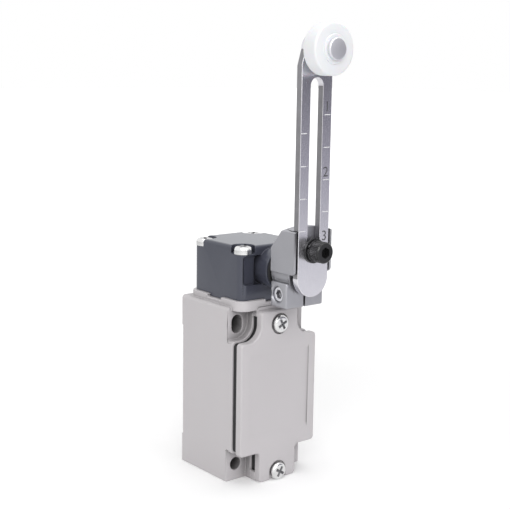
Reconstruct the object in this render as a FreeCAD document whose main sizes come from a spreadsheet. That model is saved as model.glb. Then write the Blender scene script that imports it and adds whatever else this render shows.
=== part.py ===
"""Side-rotary limit switch with an adjustable roller lever, built piece by piece.

Millimetres. +X right, +Y towards the wall it is bolted to, +Z up. The origin is the centre of
the mounting-hole pattern, on the mounting plane, so the front of every piece has a negative Y.
"""
import FreeCAD
import Part

import math
import os
import re

import Sketcher
from FreeCAD import Rotation, Vector

DOC = FreeCAD.newDocument("LimitSwitch")
SHEET = DOC.addObject("Spreadsheet::Sheet", "Sizes")

# Every driving dimension: alias, value, what it is. Depths count forwards from the mounting plane.
SIZES = [
    ("hole_spacing_x", 30.0, "mounting holes, side to side"),
    ("hole_spacing_z", 60.0, "mounting holes, bottom to top"),
    ("hole_radius", 2.65, "clearance for the mounting screws"),
    ("slot_travel", 2.3, "length of the straight part of the upper slots"),
    ("case_width", 40.0, "case, side to side"),
    ("case_foot", 37.1, "case bottom below the pattern centre"),
    ("case_top", 37.4, "case shoulder above the pattern centre"),
    ("case_round", 1.5, "rounding of the case's outer edges"),
    ("pad_rise", 0.6, "how far the two back pads stand out"),
    ("pad_low_top", 24.5, "upper edge of the lower pad, below the centre"),
    ("pad_high_foot", 24.0, "lower edge of the upper pad"),
    ("lug_depth", 32.2, "corner lugs, mounting plane to front"),
    ("rim_depth", 35.6, "case rim, mounting plane to front"),
    ("case_wall", 3.5, "case wall"),
    ("tab_width", 19.4, "cover tabs and the case behind them"),
    ("wing_low", 24.0, "lower edge of the cover's wings, below the centre"),
    ("wing_high", 23.8, "upper edge of the cover's wings"),
    ("notch_round", 6.5, "hollow corner of the upper notches"),
    ("corner_round", 1.6, "other corners of the cover outline"),
    ("chamber_half", 20.0, "wiring chamber, half its height"),
    ("platform_size", "=head_size + 3", "square platform under the head"),
    ("platform_top", "=case_top + 2.8", "platform top above the centre"),
    ("platform_foot", "=case_top - 1.5", "underside of the platform over the lugs"),
    ("platform_round", 5.0, "platform corners"),
    ("key_notch", 9.2, "width of the head-turning notches"),
    ("key_notch_drop", 1.2, "depth of the head-turning notches"),
    ("key_reach", 2.2, "head keys in those notches, from the head's sides inwards"),
    ("key_gap", 0.1, "head keys to their notches"),
    ("conduit_radius", 9.2, "wall of the cable entry"),
    ("conduit_depth", 17.0, "cable entry axis, from the mounting plane"),
    ("conduit_length", 11.0, "cable entry, along its axis"),
    ("gasket_thick", 2.9, "cover gasket"),
    ("gasket_inset", 0.7, "gasket edge inside the cover outline"),
    ("lip_height", 4.0, "case lips above and below the gasket"),
    ("cover_gap", 0.1, "cover to case lips"),
    ("cover_thick", 3.3, "cover"),
    ("cover_top", "=platform_foot - 0.1", "top edge of the cover above the centre"),
    ("cover_round", 0.9, "front edge of the cover"),
    ("panel_width", 32.0, "recessed plate field"),
    ("panel_height", 36.0, "recessed plate field"),
    ("panel_rise", 1.0, "middle of the plate field above the centre"),
    ("panel_sink", 0.35, "depth of the plate field"),
    ("cover_screw_high", 30.0, "upper cover screw above the centre"),
    ("cover_screw_low", 33.6, "lower cover screw below the centre"),
    ("counterbore_radius", 4.4, "seats of the cover screws"),
    ("counterbore_sink", 1.2, "depth of those seats"),
    ("screw_radius", 1.75, "shank of the case and head screws"),
    ("hole_gap", 0.2, "screw holes, radius over the screw's"),
    ("hole_floor", 1.0, "metal left behind blind holes"),
    ("end_gap", 0.2, "room left beyond the ends of screws and pins"),
    ("screw_head_radius", 3.75, "head of the case and head screws"),
    ("screw_head_thick", 2.9, "head of the case and head screws"),
    ("cover_screw_reach", 10.5, "cover screw shank"),
    ("cover_screw_bite", 6.5, "tapped holes of the cover screws"),
    ("head_size", 33.0, "head, square"),
    ("head_depth", "=head_size / 2 + 3.5", "head axis, from the mounting plane"),
    ("head_height", 22.3, "head above the platform"),
    ("head_round", 3.2, "upright corners of the head"),
    ("head_bevel", 1.2, "top edge of the head"),
    ("head_wall", 1.6, "top wall of the head"),
    ("head_screw_spacing", "=head_size - 7", "head screws, square"),
    ("head_pocket_radius", 4.8, "corner pockets over the head screws"),
    ("head_pocket_sink", 3.3, "depth of the corner pockets"),
    ("head_screw_bite", 3.9, "head screw thread in the case"),
    ("head_band", 6.3, "plain band at the head's foot"),
    ("face_recess_sink", 3.0, "hollows beside the shaft boss"),
    ("face_step_sink", 1.1, "outer, shallower part of those hollows"),
    ("face_step_inner", 10.6, "inner end of that shallower part"),
    ("face_recess_outer", "=head_size / 2 - 1.5", "outer edge of those hollows"),
    ("face_recess_top", 18.3, "their top above the platform"),
    ("boss_radius", "=shaft_radius + 4.5", "shaft boss"),
    ("boss_reach", 6.0, "shaft boss in front of the head"),
    ("cam_room_width", 19.2, "hollow round the cam"),
    ("cam_room_depth", 20.0, "hollow round the cam"),
    ("oring_radius", 11.0, "inner radius of the head seal"),
    ("oring_width", 1.8, "head seal section"),
    ("oring_depth", 1.0, "head seal groove"),
    ("shaft_height", "=platform_top + 12.7", "shaft axis above the centre"),
    ("shaft_radius", 4.0, "shaft"),
    ("running_gap", 0.05, "radial clearance of a turning or sliding fit"),
    ("bush_wall", 1.5, "shaft bush"),
    ("shaft_back", "=head_depth - 13.8", "rear end of the shaft"),
    ("shaft_front", "=collar_back + 12.4", "front end of the shaft"),
    ("shaft_bevel", 0.6, "bevel at the front end of the shaft"),
    ("seal_thick", 1.1, "shaft seal"),
    ("seal_inset", 0.6, "shaft seal, radius under the boss's"),
    ("seal_gap", 0.3, "shaft seal to shaft"),
    ("ring_thick", 0.8, "shaft retaining ring"),
    ("ring_rise", 2.2, "shaft retaining ring, radius over the shaft's"),
    ("cam_width", 7.0, "cam, along the shaft"),
    ("cam_reach", 6.9, "cam, shaft axis to follower at rest"),
    ("cam_lift", 1.5, "follower travel at the lever's limit"),
    ("cam_hub_radius", "=shaft_radius + 1.3", "round part of the cam"),
    ("lever_limit", 70.0, "lever travel each way, degrees"),
    ("pin_radius", 1.0, "cam pin"),
    ("plunger_radius", 4.0, "plunger stem"),
    ("plunger_flange_radius", 6.2, "plunger flange"),
    ("plunger_flange_thick", 2.35, "plunger flange"),
    ("spring_seat", "=platform_top - 5.7", "foot of the return spring above the centre"),
    ("spring_room_radius", 6.4, "bore round the return spring"),
    ("spring_wire", 0.7, "wire of the return spring"),
    ("spring_gap", 0.5, "return spring to plunger"),
    ("contact_wire", 0.4, "wire of the contact spring"),
    ("contact_spring_radius", 1.2, "inner radius of the contact spring"),
    ("guide_foot", "=platform_top - 11.2", "lower end of the plunger guide"),
    ("upper_room_width", 16.0, "case hollow under the guide"),
    ("inner_room_front", "=head_depth + 7", "front of the hollows above and below the chamber"),
    ("button_top", 22.0, "switch button, above the centre"),
    ("button_foot", 13.2, "switch button, above the centre"),
    ("button_radius", 2.0, "switch button"),
    ("button_cap_thick", 1.5, "wider top of the switch button"),
    ("button_cap_rise", 1.0, "wider top, radius over the button's"),
    ("base_width", 26.0, "switch base"),
    ("base_foot", 12.2, "switch base, below the centre"),
    ("base_top", 18.0, "switch base, above the centre"),
    ("base_front", 26.0, "switch base, mounting plane to front"),
    ("closure_inset", 0.4, "plate over the contact chamber, inside the base's sides"),
    ("closure_thick", 2.0, "plate over the contact chamber"),
    ("closure_overlap", 1.0, "that plate above and below the chamber"),
    ("contact_room_width", 23.2, "contact chamber"),
    ("contact_room_foot", 3.0, "contact chamber"),
    ("contact_room_top", 15.0, "contact chamber"),
    ("contact_room_depth", 14.0, "contact chamber"),
    ("blade_foot", 7.5, "moving contact above the centre"),
    ("blade_thick", 0.6, "moving contact"),
    ("blade_length", 16.0, "moving contact"),
    ("blade_width", 4.0, "moving contact"),
    ("contact_spacing", 13.0, "contact rivets, side to side"),
    ("contact_radius", 1.4, "contact rivets"),
    ("contact_thick", 0.6, "contact rivets"),
    ("contact_stroke", 0.8, "snap travel of the moving contact"),
    ("strap_thick", 0.8, "terminal straps"),
    ("strap_end", 3.0, "terminal straps below their screws"),
    ("nc_strap_inner", 7.9, "break-terminal straps, inner edge"),
    ("nc_strap_outer", 11.4, "break-terminal straps, outer edge"),
    ("no_strap_inner", 2.2, "make-terminal straps, inner edge"),
    ("no_strap_outer", 6.0, "make-terminal straps, outer edge"),
    ("nc_screw_x", 9.6, "break-terminal screws"),
    ("nc_screw_drop", 2.6, "break-terminal screws below the centre"),
    ("no_screw_x", 4.1, "make-terminal screws"),
    ("no_screw_drop", 9.0, "make-terminal screws below the centre"),
    ("terminal_screw_radius", 1.5, "terminal screw shank"),
    ("terminal_head_radius", 2.7, "terminal screw head"),
    ("terminal_head_thick", 1.8, "terminal screw head"),
    ("terminal_screw_reach", 6.0, "tapped holes of the terminal screws"),
    ("clamp_thick", 0.7, "wire clamps under the terminal screws"),
    ("base_screw_x", 11.0, "screws that hold the switch base"),
    ("base_screw_drop", 9.3, "screws that hold the switch base"),
    ("base_head_thick", 2.0, "heads of the screws that hold the switch base"),
    ("ground_x", -11.0, "ground screw"),
    ("ground_drop", 16.2, "ground screw below the centre"),
    ("hub_width", 19.4, "lever hub, side to side"),
    ("hub_back", "=collar_back + 2.6", "back of the hub's upper part"),
    ("hub_front", "=collar_back + 17.1", "front of the hub's channel walls"),
    ("hub_floor", "=collar_back + 14.1", "floor of the arm channel"),
    ("hub_foot", "=shaft_height + 1", "foot of the hub's upper part"),
    ("hub_side_top", "=shaft_height + 18", "top of the hub at its sides"),
    ("hub_top", "=hub_side_top + 1.7", "top of the hub at its middle"),
    ("hub_slope_foot", "=shaft_height + 10.5", "start of the slope at the back"),
    ("hub_slope_depth", "=collar_back + 10.3", "end of the slope at the back"),
    ("hub_corner", 1.8, "rounded corners of the channel walls"),
    ("channel_width", "=hub_width - 2", "arm channel"),
    ("jaw_back", "=collar_back + 3", "back of the clamping jaws"),
    ("jaw_front", "=collar_back + 12.6", "front of the clamping jaws"),
    ("jaw_foot", "=shaft_height - 13.1", "foot of the clamping jaws"),
    ("jaw_top", "=shaft_height - 2.8", "top of the clamping jaws"),
    ("waist_radius", "=shaft_radius + 4.4", "round waist between jaws and channel"),
    ("collar_radius", "=shaft_radius + 3.2", "collar behind the hub"),
    ("collar_back", "=head_depth + head_size / 2 + boss_reach + seal_thick + 0.3", "back of that collar"),
    ("slit_width", 0.9, "slit between the jaws"),
    ("clamp_screw_height", "=shaft_height - 8", "clamp screw above the centre"),
    ("clamp_screw_depth", "=collar_back + 6.8", "clamp screw from the mounting plane"),
    ("clamp_screw_radius", 2.0, "clamp screw shank"),
    ("clamp_head_radius", 2.95, "clamp screw head"),
    ("clamp_head_thick", 2.6, "clamp screw head"),
    ("clamp_head_sink", 1.1, "clamp screw head below the hub's side"),
    ("arm_width", "=channel_width - 1.7", "lever arm"),
    ("arm_thick", 2.95, "lever arm"),
    ("arm_gap", 0.05, "arm to channel floor and to washer"),
    ("arm_round_centre", "=shaft_height - 0.45", "centre of the arm's rounded foot"),
    ("arm_shoulder", "=shaft_height + 81.8", "where the arm starts to taper"),
    ("arm_tip_radius", 6.1, "rounded top of the arm"),
    ("arm_slot_width", 6.2, "slot of the arm"),
    ("arm_slot_low", "=shaft_height + 9.2", "lower centre of the slot"),
    ("arm_slot_high", "=shaft_height + 74.1", "upper centre of the slot"),
    ("tick_pitch", 12.6, "scale marks"),
    ("tick_right", "=shaft_height + 63.1", "highest mark on the right"),
    ("tick_left", "=shaft_height + 56.1", "highest mark on the left"),
    ("tick_width", 0.4, "scale marks"),
    ("tick_sink", 0.15, "scale marks"),
    ("tick_inset", 0.9, "scale marks to the slot"),
    ("bolt_height", "=shaft_height + 10.3", "arm bolt above the centre"),
    ("bolt_radius", 2.5, "arm bolt shank"),
    ("bolt_head_radius", 4.25, "arm bolt head"),
    ("bolt_head_thick", 5.0, "arm bolt head"),
    ("bolt_reach", 9.5, "arm bolt thread in the hub"),
    ("flat_washer_radius", 5.0, "flat washer"),
    ("flat_washer_thick", 0.9, "flat washer"),
    ("lock_washer_radius", 4.4, "spring washer"),
    ("lock_washer_thick", 1.2, "spring washer"),
    ("lock_gap", 0.8, "gap in the spring washer"),
    ("roller_height", "=shaft_height + 87.9", "roller axis above the centre"),
    ("roller_radius", 10.0, "roller"),
    ("roller_width", 7.0, "roller"),
    ("roller_round", 0.9, "roller edges"),
    ("roller_boss_radius", 5.6, "raised middle of the roller"),
    ("roller_boss_rise", 0.5, "raised middle of the roller"),
    ("axle_radius", 3.0, "roller pin"),
    ("axle_collar_radius", 4.6, "collar between arm and roller"),
    ("axle_collar_thick", 2.2, "collar between arm and roller"),
    ("axle_head_radius", 4.25, "roller pin head"),
    ("axle_head_thick", 1.3, "roller pin head"),
    ("axle_tail_thick", 0.7, "riveted tail behind the arm"),
    ("side_play", 0.15, "roller, end to end"),
]
VALUE = {}
for row, (alias, value, note) in enumerate(SIZES, start=1):
    SHEET.set(f"A{row}", alias)
    SHEET.set(f"C{row}", note)
    SHEET.setAlias(f"B{row}", alias)
for row, (alias, value, note) in enumerate(SIZES, start=1):
    SHEET.set(f"B{row}", str(value))
DOC.recompute()
for alias, value, note in SIZES:
    VALUE[alias] = float(SHEET.get(alias))

LEVER_LIMIT = math.radians(VALUE["lever_limit"])
CAM_RISE = VALUE["cam_lift"] / LEVER_LIMIT  # follower travel per radian of lever


# ---------------------------------------------------------------- helpers

def sheet_text(expression):
    """An expression in which every alias names its cell of the sheet."""
    return re.sub(r"[a-z][a-z_]+", lambda word: "Sizes." + word.group(0)
                  if word.group(0) in VALUE else word.group(0), str(expression))


def bind(thing, **sizes):
    """Ties properties of an object to the sheet."""
    for prop, expression in sizes.items():
        thing.setExpression(prop, sheet_text(expression))


def place(thing, x, y, z, turn=None):
    """Ties an object's position to the sheet; turn is a fixed rotation."""
    if turn is not None:
        thing.Placement.Rotation = turn
    for axis, expression in (("x", x), ("y", y), ("z", z)):
        thing.setExpression("Placement.Base." + axis, sheet_text(expression))


def block(x, y, z):
    """A box between two expressions on each axis."""
    box = DOC.addObject("Part::Box", "Block")
    bind(box, Length=f"({x[1]}) - ({x[0]})", Width=f"({y[1]}) - ({y[0]})", Height=f"({z[1]}) - ({z[0]})")
    place(box, x[0], y[0], z[0])
    return box


ALONG = {
    "x": Rotation(Vector(0, 1, 0), 90),
    "y": Rotation(Vector(1, 0, 0), -90),
    "z": Rotation(),
}


def on_axis(thing, axis, centre, low):
    """Stands a primitive on the axis that runs through centre, starting at low."""
    first, second = centre
    spots = {"x": (low, first, second), "y": (first, low, second), "z": (first, second, low)}
    place(thing, *spots[axis], turn=ALONG[axis])
    return thing


def rod(axis, centre, span, radius):
    """A cylinder along an axis between two expressions."""
    cylinder = DOC.addObject("Part::Cylinder", "Rod")
    bind(cylinder, Radius=radius, Height=f"({span[1]}) - ({span[0]})")
    return on_axis(cylinder, axis, centre, span[0])


def cone(axis, centre, span, low_radius, high_radius):
    """A cone along an axis between two expressions."""
    taper = DOC.addObject("Part::Cone", "Taper")
    bind(taper, Radius1=low_radius, Radius2=high_radius, Height=f"({span[1]}) - ({span[0]})")
    return on_axis(taper, axis, centre, span[0])


def hexagon(axis, centre, span, corner_radius):
    """A hexagonal prism along an axis between two expressions."""
    prism = DOC.addObject("Part::Prism", "Hexagon")
    prism.Polygon = 6
    bind(prism, Circumradius=corner_radius, Height=f"({span[1]}) - ({span[0]})")
    return on_axis(prism, axis, centre, span[0])


def fuse(*things):
    """One solid made of several that touch."""
    union = DOC.addObject("Part::MultiFuse", "Union")
    union.Shapes = list(things)
    union.Refine = True
    return union


def cut(base, *tools):
    """What is left of base without the tools."""
    rest = DOC.addObject("Part::Cut", "Cut")
    rest.Base = base
    rest.Tool = tools[0] if len(tools) == 1 else fuse(*tools)
    rest.Refine = True
    return rest


def common(one, other):
    """What two solids share."""
    shared = DOC.addObject("Part::MultiCommon", "Shared")
    shared.Shapes = [one, other]
    return shared


def group(*things):
    """Separate solids of one node."""
    several = DOC.addObject("Part::Compound", "Several")
    several.Links = list(things)
    return several


def rounded(base, radius, wanted):
    """Rounds the edges of base that wanted() picks by their two end points."""
    DOC.recompute()
    picked = [number for number, edge in enumerate(base.Shape.Edges, start=1)
              if len(edge.Vertexes) == 2 and wanted(*(v.Point for v in edge.Vertexes))]
    fillet = DOC.addObject("Part::Fillet", "Rounded")
    fillet.Base = base
    fillet.Edges = [(number, VALUE[radius], VALUE[radius]) for number in picked]
    return fillet


def outline_body(plane, corners, start, length, name):
    """A PartDesign body: a closed outline of straight edges, padded from start by length.

    On XZ_Plane the outline is in X and Z and the pad grows forwards. On YZ_Plane it is in Y and Z
    and the pad grows to the right.
    """
    body = DOC.addObject("PartDesign::Body", name)
    sketch = body.newObject("Sketcher::SketchObject", name + "Outline")
    origin = next(item for item in body.Origin.OriginFeatures if item.Role == plane)
    sketch.AttachmentSupport = (origin, [""])
    sketch.MapMode = "FlatFace"
    sketch.setExpression("AttachmentOffset.Base.z", sheet_text(start))
    count = len(corners)
    ring = [Vector(math.cos(2 * math.pi * i / count), math.sin(2 * math.pi * i / count), 0) * 10
            for i in range(count)]
    for i in range(count):
        sketch.addGeometry(Part.LineSegment(ring[i], ring[(i + 1) % count]))
    for i in range(count):
        sketch.addConstraint(Sketcher.Constraint("Coincident", i, 2, (i + 1) % count, 1))
    for i, (across, up) in enumerate(corners):
        for kind, expression, value in (("DistanceX", across, ring[i].x), ("DistanceY", up, ring[i].y)):
            index = sketch.addConstraint(Sketcher.Constraint(kind, -1, 1, i, 1, value))
            sketch.setExpression(f"Constraints[{index}]", sheet_text(expression))
    pad = body.newObject("PartDesign::Pad", name + "Pad")
    pad.Profile = sketch
    pad.setExpression("Length", sheet_text(length))
    DOC.recompute()
    return body


def body_fillet(body, radius, wanted):
    """A PartDesign fillet on the body's last feature, on the edges that wanted() picks."""
    DOC.recompute()
    tip = body.Tip
    names = [f"Edge{number}" for number, edge in enumerate(tip.Shape.Edges, start=1)
             if len(edge.Vertexes) == 2 and wanted(*(v.Point for v in edge.Vertexes))]
    fillet = body.newObject("PartDesign::Fillet", body.Name + "Fillet")
    fillet.Base = (tip, names)
    fillet.setExpression("Radius", sheet_text(radius))
    DOC.recompute()
    return body


NODES = []


def node(label, thing):
    """Names a finished sub-part."""
    thing.Label = label
    NODES.append(thing)
    return thing


def near(a, b):
    """Whether two lengths are the same."""
    return abs(a - b) < 1e-4


def upright(p, q):
    """Whether an edge runs along Z."""
    return near(p.x, q.x) and near(p.y, q.y)


def crosswise(p, q):
    """Whether an edge runs along Y."""
    return near(p.x, q.x) and near(p.z, q.z)


RECESS_DEPTH = 0.55  # driver recesses, of the head's thickness
CROSS_LENGTH = 1.2  # cross recesses, of the head's radius
CROSS_WIDTH = 0.27
HEX_SHARE = 0.9  # hexagon sockets, corner radius, of the shank's radius


def cross_slots(axis, centre, span, reach, width):
    """Two crossed slots, as in a cross-recessed screw head."""
    across, up = centre
    bars = []
    for wide, high in ((reach, width), (width, reach)):
        first = (f"({across}) - ({wide}) / 2", f"({across}) + ({wide}) / 2")
        second = (f"({up}) - ({high}) / 2", f"({up}) + ({high}) / 2")
        bars.append(block(first, span, second) if axis == "y" else block(first, second, span))
    return bars


def front_screw(centre, seat, reach, shank="screw_radius", head="screw_head_radius",
                thick="screw_head_thick"):
    """A pan-head screw driven in from the front; seat is the depth under its head."""
    front = f"-({seat}) - ({thick})"
    head_rod = rod("y", centre, (front, f"-({seat})"), head)
    shank_rod = rod("y", centre, (f"-({seat})", f"-({seat}) + ({reach})"), shank)
    solid = fuse(head_rod, shank_rod)
    return cut(solid, *cross_slots("y", centre, (front, f"{front} + ({thick}) * {RECESS_DEPTH}"),
                                   f"({head}) * {CROSS_LENGTH}", f"({head}) * {CROSS_WIDTH}"))


# ---------------------------------------------------------------- case

HALF = "case_width / 2"
TAB = "tab_width / 2"
HEAD_HALF = "head_size / 2"
COVER_BACK = "rim_depth + gasket_thick"
SHAFT = ("0", "shaft_height")
MOUNTS_X = ("-hole_spacing_x / 2", "hole_spacing_x / 2")


def cross_outline(inset, top, foot):
    """The cross shape shared by the case rim, the gasket and the cover, anticlockwise."""
    wing = f"{HALF} - {inset}"
    tab = f"{TAB} - {inset}"
    low = f"-wing_low + {inset}"
    high = f"wing_high - {inset}"
    return [(f"-({tab})", f"-({foot})"), (tab, f"-({foot})"), (tab, low), (wing, low), (wing, high),
            (tab, high), (tab, top), (f"-({tab})", top), (f"-({tab})", high), (f"-({wing})", high),
            (f"-({wing})", low), (f"-({tab})", low)]


def cross_body(name, inset, top, foot, start, length):
    """A plate of that cross shape with its hollow and outer corners rounded."""
    body = outline_body("XZ_Plane", cross_outline(inset, top, foot), start, length, name)
    hollow = VALUE["tab_width"] / 2 - float(inset if inset == "0" else VALUE[inset])
    high = VALUE["wing_high"] - float(inset if inset == "0" else VALUE[inset])
    body_fillet(body, "notch_round",
                lambda p, q: crosswise(p, q) and near(abs(p.x), hollow) and near(p.z, high))
    body_fillet(body, "corner_round",
                lambda p, q: crosswise(p, q) and not near(p.z, high + VALUE["notch_round"])
                and (near(abs(p.x), VALUE["case_width"] / 2 - (VALUE["tab_width"] / 2 - hollow))
                     or near(p.z, -(VALUE["wing_low"] - (VALUE["tab_width"] / 2 - hollow)))))
    return body


def mounting_holes(span):
    """Two round lower holes and two upright upper slots."""
    holes = []
    for x in MOUNTS_X:
        holes.append(rod("y", (x, "-hole_spacing_z / 2"), span, "hole_radius"))
        for end in ("-", "+"):
            holes.append(rod("y", (x, f"hole_spacing_z / 2 {end} slot_travel / 2"), span, "hole_radius"))
        holes.append(block((f"{x} - hole_radius", f"{x} + hole_radius"), span,
                           ("hole_spacing_z / 2 - slot_travel / 2", "hole_spacing_z / 2 + slot_travel / 2")))
    return holes


def head_screw_spots():
    """The four head screws' X and Y, as expressions."""
    return [(f"{a} head_screw_spacing / 2", f"-head_depth {b} head_screw_spacing / 2")
            for a in "-+" for b in "-+"]


def on_four_sides(inner, outer, half, z):
    """Four blocks round the head's axis, from inner to outer, each two times half wide."""
    width = (f"-({half})", half)
    depth = (f"-head_depth - ({half})", f"-head_depth + {half}")
    return [block((f"-({outer})", f"-({inner})"), depth, z),
            block((inner, outer), depth, z),
            block(width, (f"-head_depth - ({outer})", f"-head_depth - ({inner})"), z),
            block(width, (f"-head_depth + {inner}", f"-head_depth + {outer}"), z)]


def make_case():
    """The die-cast case: chamber, lugs, platform for the head, cable entry at the bottom."""
    block_body = rounded(
        block((f"-{HALF}", HALF), ("-lug_depth", "0"), ("-case_foot", "case_top")), "case_round",
        lambda p, q: near(p.x, q.x) and near(p.z, VALUE["case_top"]) and near(q.z, p.z))
    rim = cross_body("RimCross", "0", "case_top", "case_foot", "lug_depth", "rim_depth - lug_depth")
    platform = rounded(
        block(("-platform_size / 2", "platform_size / 2"),
              ("-head_depth - platform_size / 2", "-head_depth + platform_size / 2"),
              ("platform_foot", "platform_top")), "platform_round", upright)
    lip = ("-rim_depth - gasket_thick + cover_gap", "-rim_depth")
    lips = [block((f"-{TAB}", TAB), lip, ("case_top - lip_height", "case_top")),
            block((f"-{TAB}", TAB), lip, ("-case_foot", "-case_foot + lip_height"))]
    shell = fuse(block_body, rim, platform, *lips)
    back_wall = "-pad_rise - case_wall"
    inside = f"{HALF} - case_wall"
    rooms = [
        block((f"-({inside})", inside), ("-rim_depth", back_wall), ("-chamber_half", "chamber_half")),
        block(("-upper_room_width / 2", "upper_room_width / 2"), ("-inner_room_front", back_wall),
              ("chamber_half", "guide_foot")),
        block(("-conduit_radius", "conduit_radius"), ("-inner_room_front", "-conduit_depth + conduit_radius"),
              ("-case_foot + conduit_length", "-chamber_half")),
        rod("z", ("0", "-conduit_depth"), ("-case_foot", "-case_foot + conduit_length"), "conduit_radius"),
        rod("z", ("0", "-head_depth"), ("guide_foot", "platform_top"), "plunger_radius + running_gap"),
        rod("z", ("0", "-head_depth"), ("spring_seat", "platform_top"), "spring_room_radius"),
        block((f"-{HALF}", HALF), ("-pad_rise", "0"), ("-pad_low_top", "pad_high_foot")),
    ]
    screws = [rod("y", ("0", z), ("-rim_depth - gasket_thick", "-rim_depth + cover_screw_bite"),
                  "screw_radius") for z in ("cover_screw_high", "-cover_screw_low")]
    screws += [rod("z", (x, y), ("platform_top - head_screw_bite", "platform_top"), "screw_radius")
               for x, y in head_screw_spots()]
    screws += [rod("y", (x, "-base_screw_drop"), ("-pad_rise - case_wall", "-pad_rise - hole_floor"),
                   "terminal_screw_radius") for x in ("-base_screw_x", "base_screw_x")]
    screws.append(rod("y", ("ground_x", "-ground_drop"), ("-pad_rise - case_wall", "-pad_rise - hole_floor"),
                      "screw_radius"))
    keys = on_four_sides(f"{HEAD_HALF} - key_reach - key_gap", "platform_size / 2", "key_notch / 2",
                         ("platform_top - key_notch_drop", "platform_top"))
    return cut(shell, *rooms, *screws, *mounting_holes(("-lug_depth", "0")), *keys)


def make_gasket():
    """The black seal between case and cover."""
    ring = cross_body("GasketCross", "gasket_inset", "case_top - lip_height - end_gap",
                      "case_foot - lip_height - end_gap", "rim_depth", "gasket_thick")
    span = (f"-({COVER_BACK})", "-rim_depth")
    inside = f"{HALF} - case_wall"
    window = block((f"-({inside})", inside), span, ("-chamber_half", "chamber_half"))
    holes = [rod("y", ("0", z), span, "screw_radius + hole_gap")
             for z in ("cover_screw_high", "-cover_screw_low")]
    return cut(ring, window, *holes)


def make_cover():
    """The front cover: a cross-shaped plate with a shallow field and two screw seats."""
    plate = cross_body("CoverCross", "0", "cover_top", "case_foot", COVER_BACK, "cover_thick")
    front = -(VALUE["rim_depth"] + VALUE["gasket_thick"] + VALUE["cover_thick"])
    body_fillet(plate, "cover_round", lambda p, q: near(p.y, front) and near(q.y, front))
    face = "-(rim_depth + gasket_thick + cover_thick)"
    field = rounded(block(("-panel_width / 2", "panel_width / 2"), (face, f"{face} + panel_sink"),
                          ("panel_rise - panel_height / 2", "panel_rise + panel_height / 2")),
                    "corner_round", crosswise)
    cuts = [field]
    for z in ("cover_screw_high", "-cover_screw_low"):
        cuts.append(rod("y", ("0", z), (face, f"{face} + counterbore_sink"), "counterbore_radius"))
        cuts.append(rod("y", ("0", z), (face, f"-({COVER_BACK})"), "screw_radius + hole_gap"))
    cuts.append(block(("-counterbore_radius", "counterbore_radius"),
                      (face, f"{face} + counterbore_sink"), ("-case_foot", "-cover_screw_low")))
    return cut(plate, *cuts)


def make_cover_screws():
    """The two screws that hold the cover."""
    seat = f"{COVER_BACK} + cover_thick - counterbore_sink"
    return group(*[front_screw(("0", z), seat, "cover_screw_reach - end_gap")
                   for z in ("cover_screw_high", "-cover_screw_low")])


# ---------------------------------------------------------------- head

HEAD_TOP = "platform_top + head_height"
HEAD_FRONT = f"-head_depth - {HEAD_HALF}"
ROOM_FRONT = "-head_depth - cam_room_depth / 2"
ROOM_BACK = "-head_depth + cam_room_depth / 2"
BUSH_RADIUS = "shaft_radius + running_gap + bush_wall"


def head_ring():
    """The ring in the head's foot that the seal fills."""
    span = ("platform_top", "platform_top + oring_depth")
    centre = ("0", "-head_depth")
    return cut(rod("z", centre, span, "oring_radius + oring_width"), rod("z", centre, span, "oring_radius"))


def make_head():
    """The rotary head: a square housing with a hollow for the cam and a boss for the shaft."""
    shell = rounded(block((f"-{HEAD_HALF}", HEAD_HALF), (HEAD_FRONT, f"-head_depth + {HEAD_HALF}"),
                          ("platform_top", HEAD_TOP)), "head_round", upright)
    shell = rounded(shell, "head_bevel",
                    lambda p, q: near(p.z, VALUE["platform_top"] + VALUE["head_height"]) and near(q.z, p.z))
    height = ("platform_top + head_band", "platform_top + face_recess_top")
    shallow = block(("-face_recess_outer", "face_recess_outer"),
                    (HEAD_FRONT, f"{HEAD_FRONT} + face_step_sink"), height)
    deep = block(("-face_step_inner", "face_step_inner"),
                 (HEAD_FRONT, f"{HEAD_FRONT} + face_recess_sink"), height)
    recesses = [rounded(shallow, "corner_round", crosswise), deep]
    keys = on_four_sides(f"{HEAD_HALF} - key_reach", HEAD_HALF, "key_notch / 2 - key_gap",
                         ("platform_top - key_notch_drop + key_gap", "platform_top"))
    shell = fuse(cut(shell, *recesses), *keys,
                 rod("y", SHAFT, (f"{HEAD_FRONT} - boss_reach", ROOM_FRONT), "boss_radius"))
    cuts = [
        block(("-cam_room_width / 2", "cam_room_width / 2"), (ROOM_FRONT, ROOM_BACK),
              ("platform_top", f"{HEAD_TOP} - head_wall")),
        rod("y", SHAFT, (f"{HEAD_FRONT} - boss_reach", ROOM_FRONT), BUSH_RADIUS),
        rod("y", SHAFT, (ROOM_BACK, "-shaft_back + end_gap"), "shaft_radius + running_gap"),
    ]
    cuts.append(head_ring())
    for x, y in head_screw_spots():
        cuts.append(rod("z", (x, y), (f"{HEAD_TOP} - head_pocket_sink", HEAD_TOP), "head_pocket_radius"))
        cuts.append(rod("z", (x, y), ("platform_top", HEAD_TOP), "screw_radius + hole_gap"))
    return cut(shell, *cuts)


def make_head_gasket():
    """The seal in the head's foot."""
    return head_ring()


def make_head_screws():
    """The four long screws that hold the head on the case."""
    seat = f"{HEAD_TOP} - head_pocket_sink"
    top = f"{seat} + screw_head_thick"
    screws = []
    for x, y in head_screw_spots():
        solid = fuse(rod("z", (x, y), (seat, top), "screw_head_radius"),
                     rod("z", (x, y), ("platform_top - head_screw_bite + end_gap", seat), "screw_radius"))
        slots = cross_slots("z", (x, y), (f"{top} - screw_head_thick * {RECESS_DEPTH}", top),
                            f"screw_head_radius * {CROSS_LENGTH}", f"screw_head_radius * {CROSS_WIDTH}")
        screws.append(cut(solid, *slots))
    return group(*screws)


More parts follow.
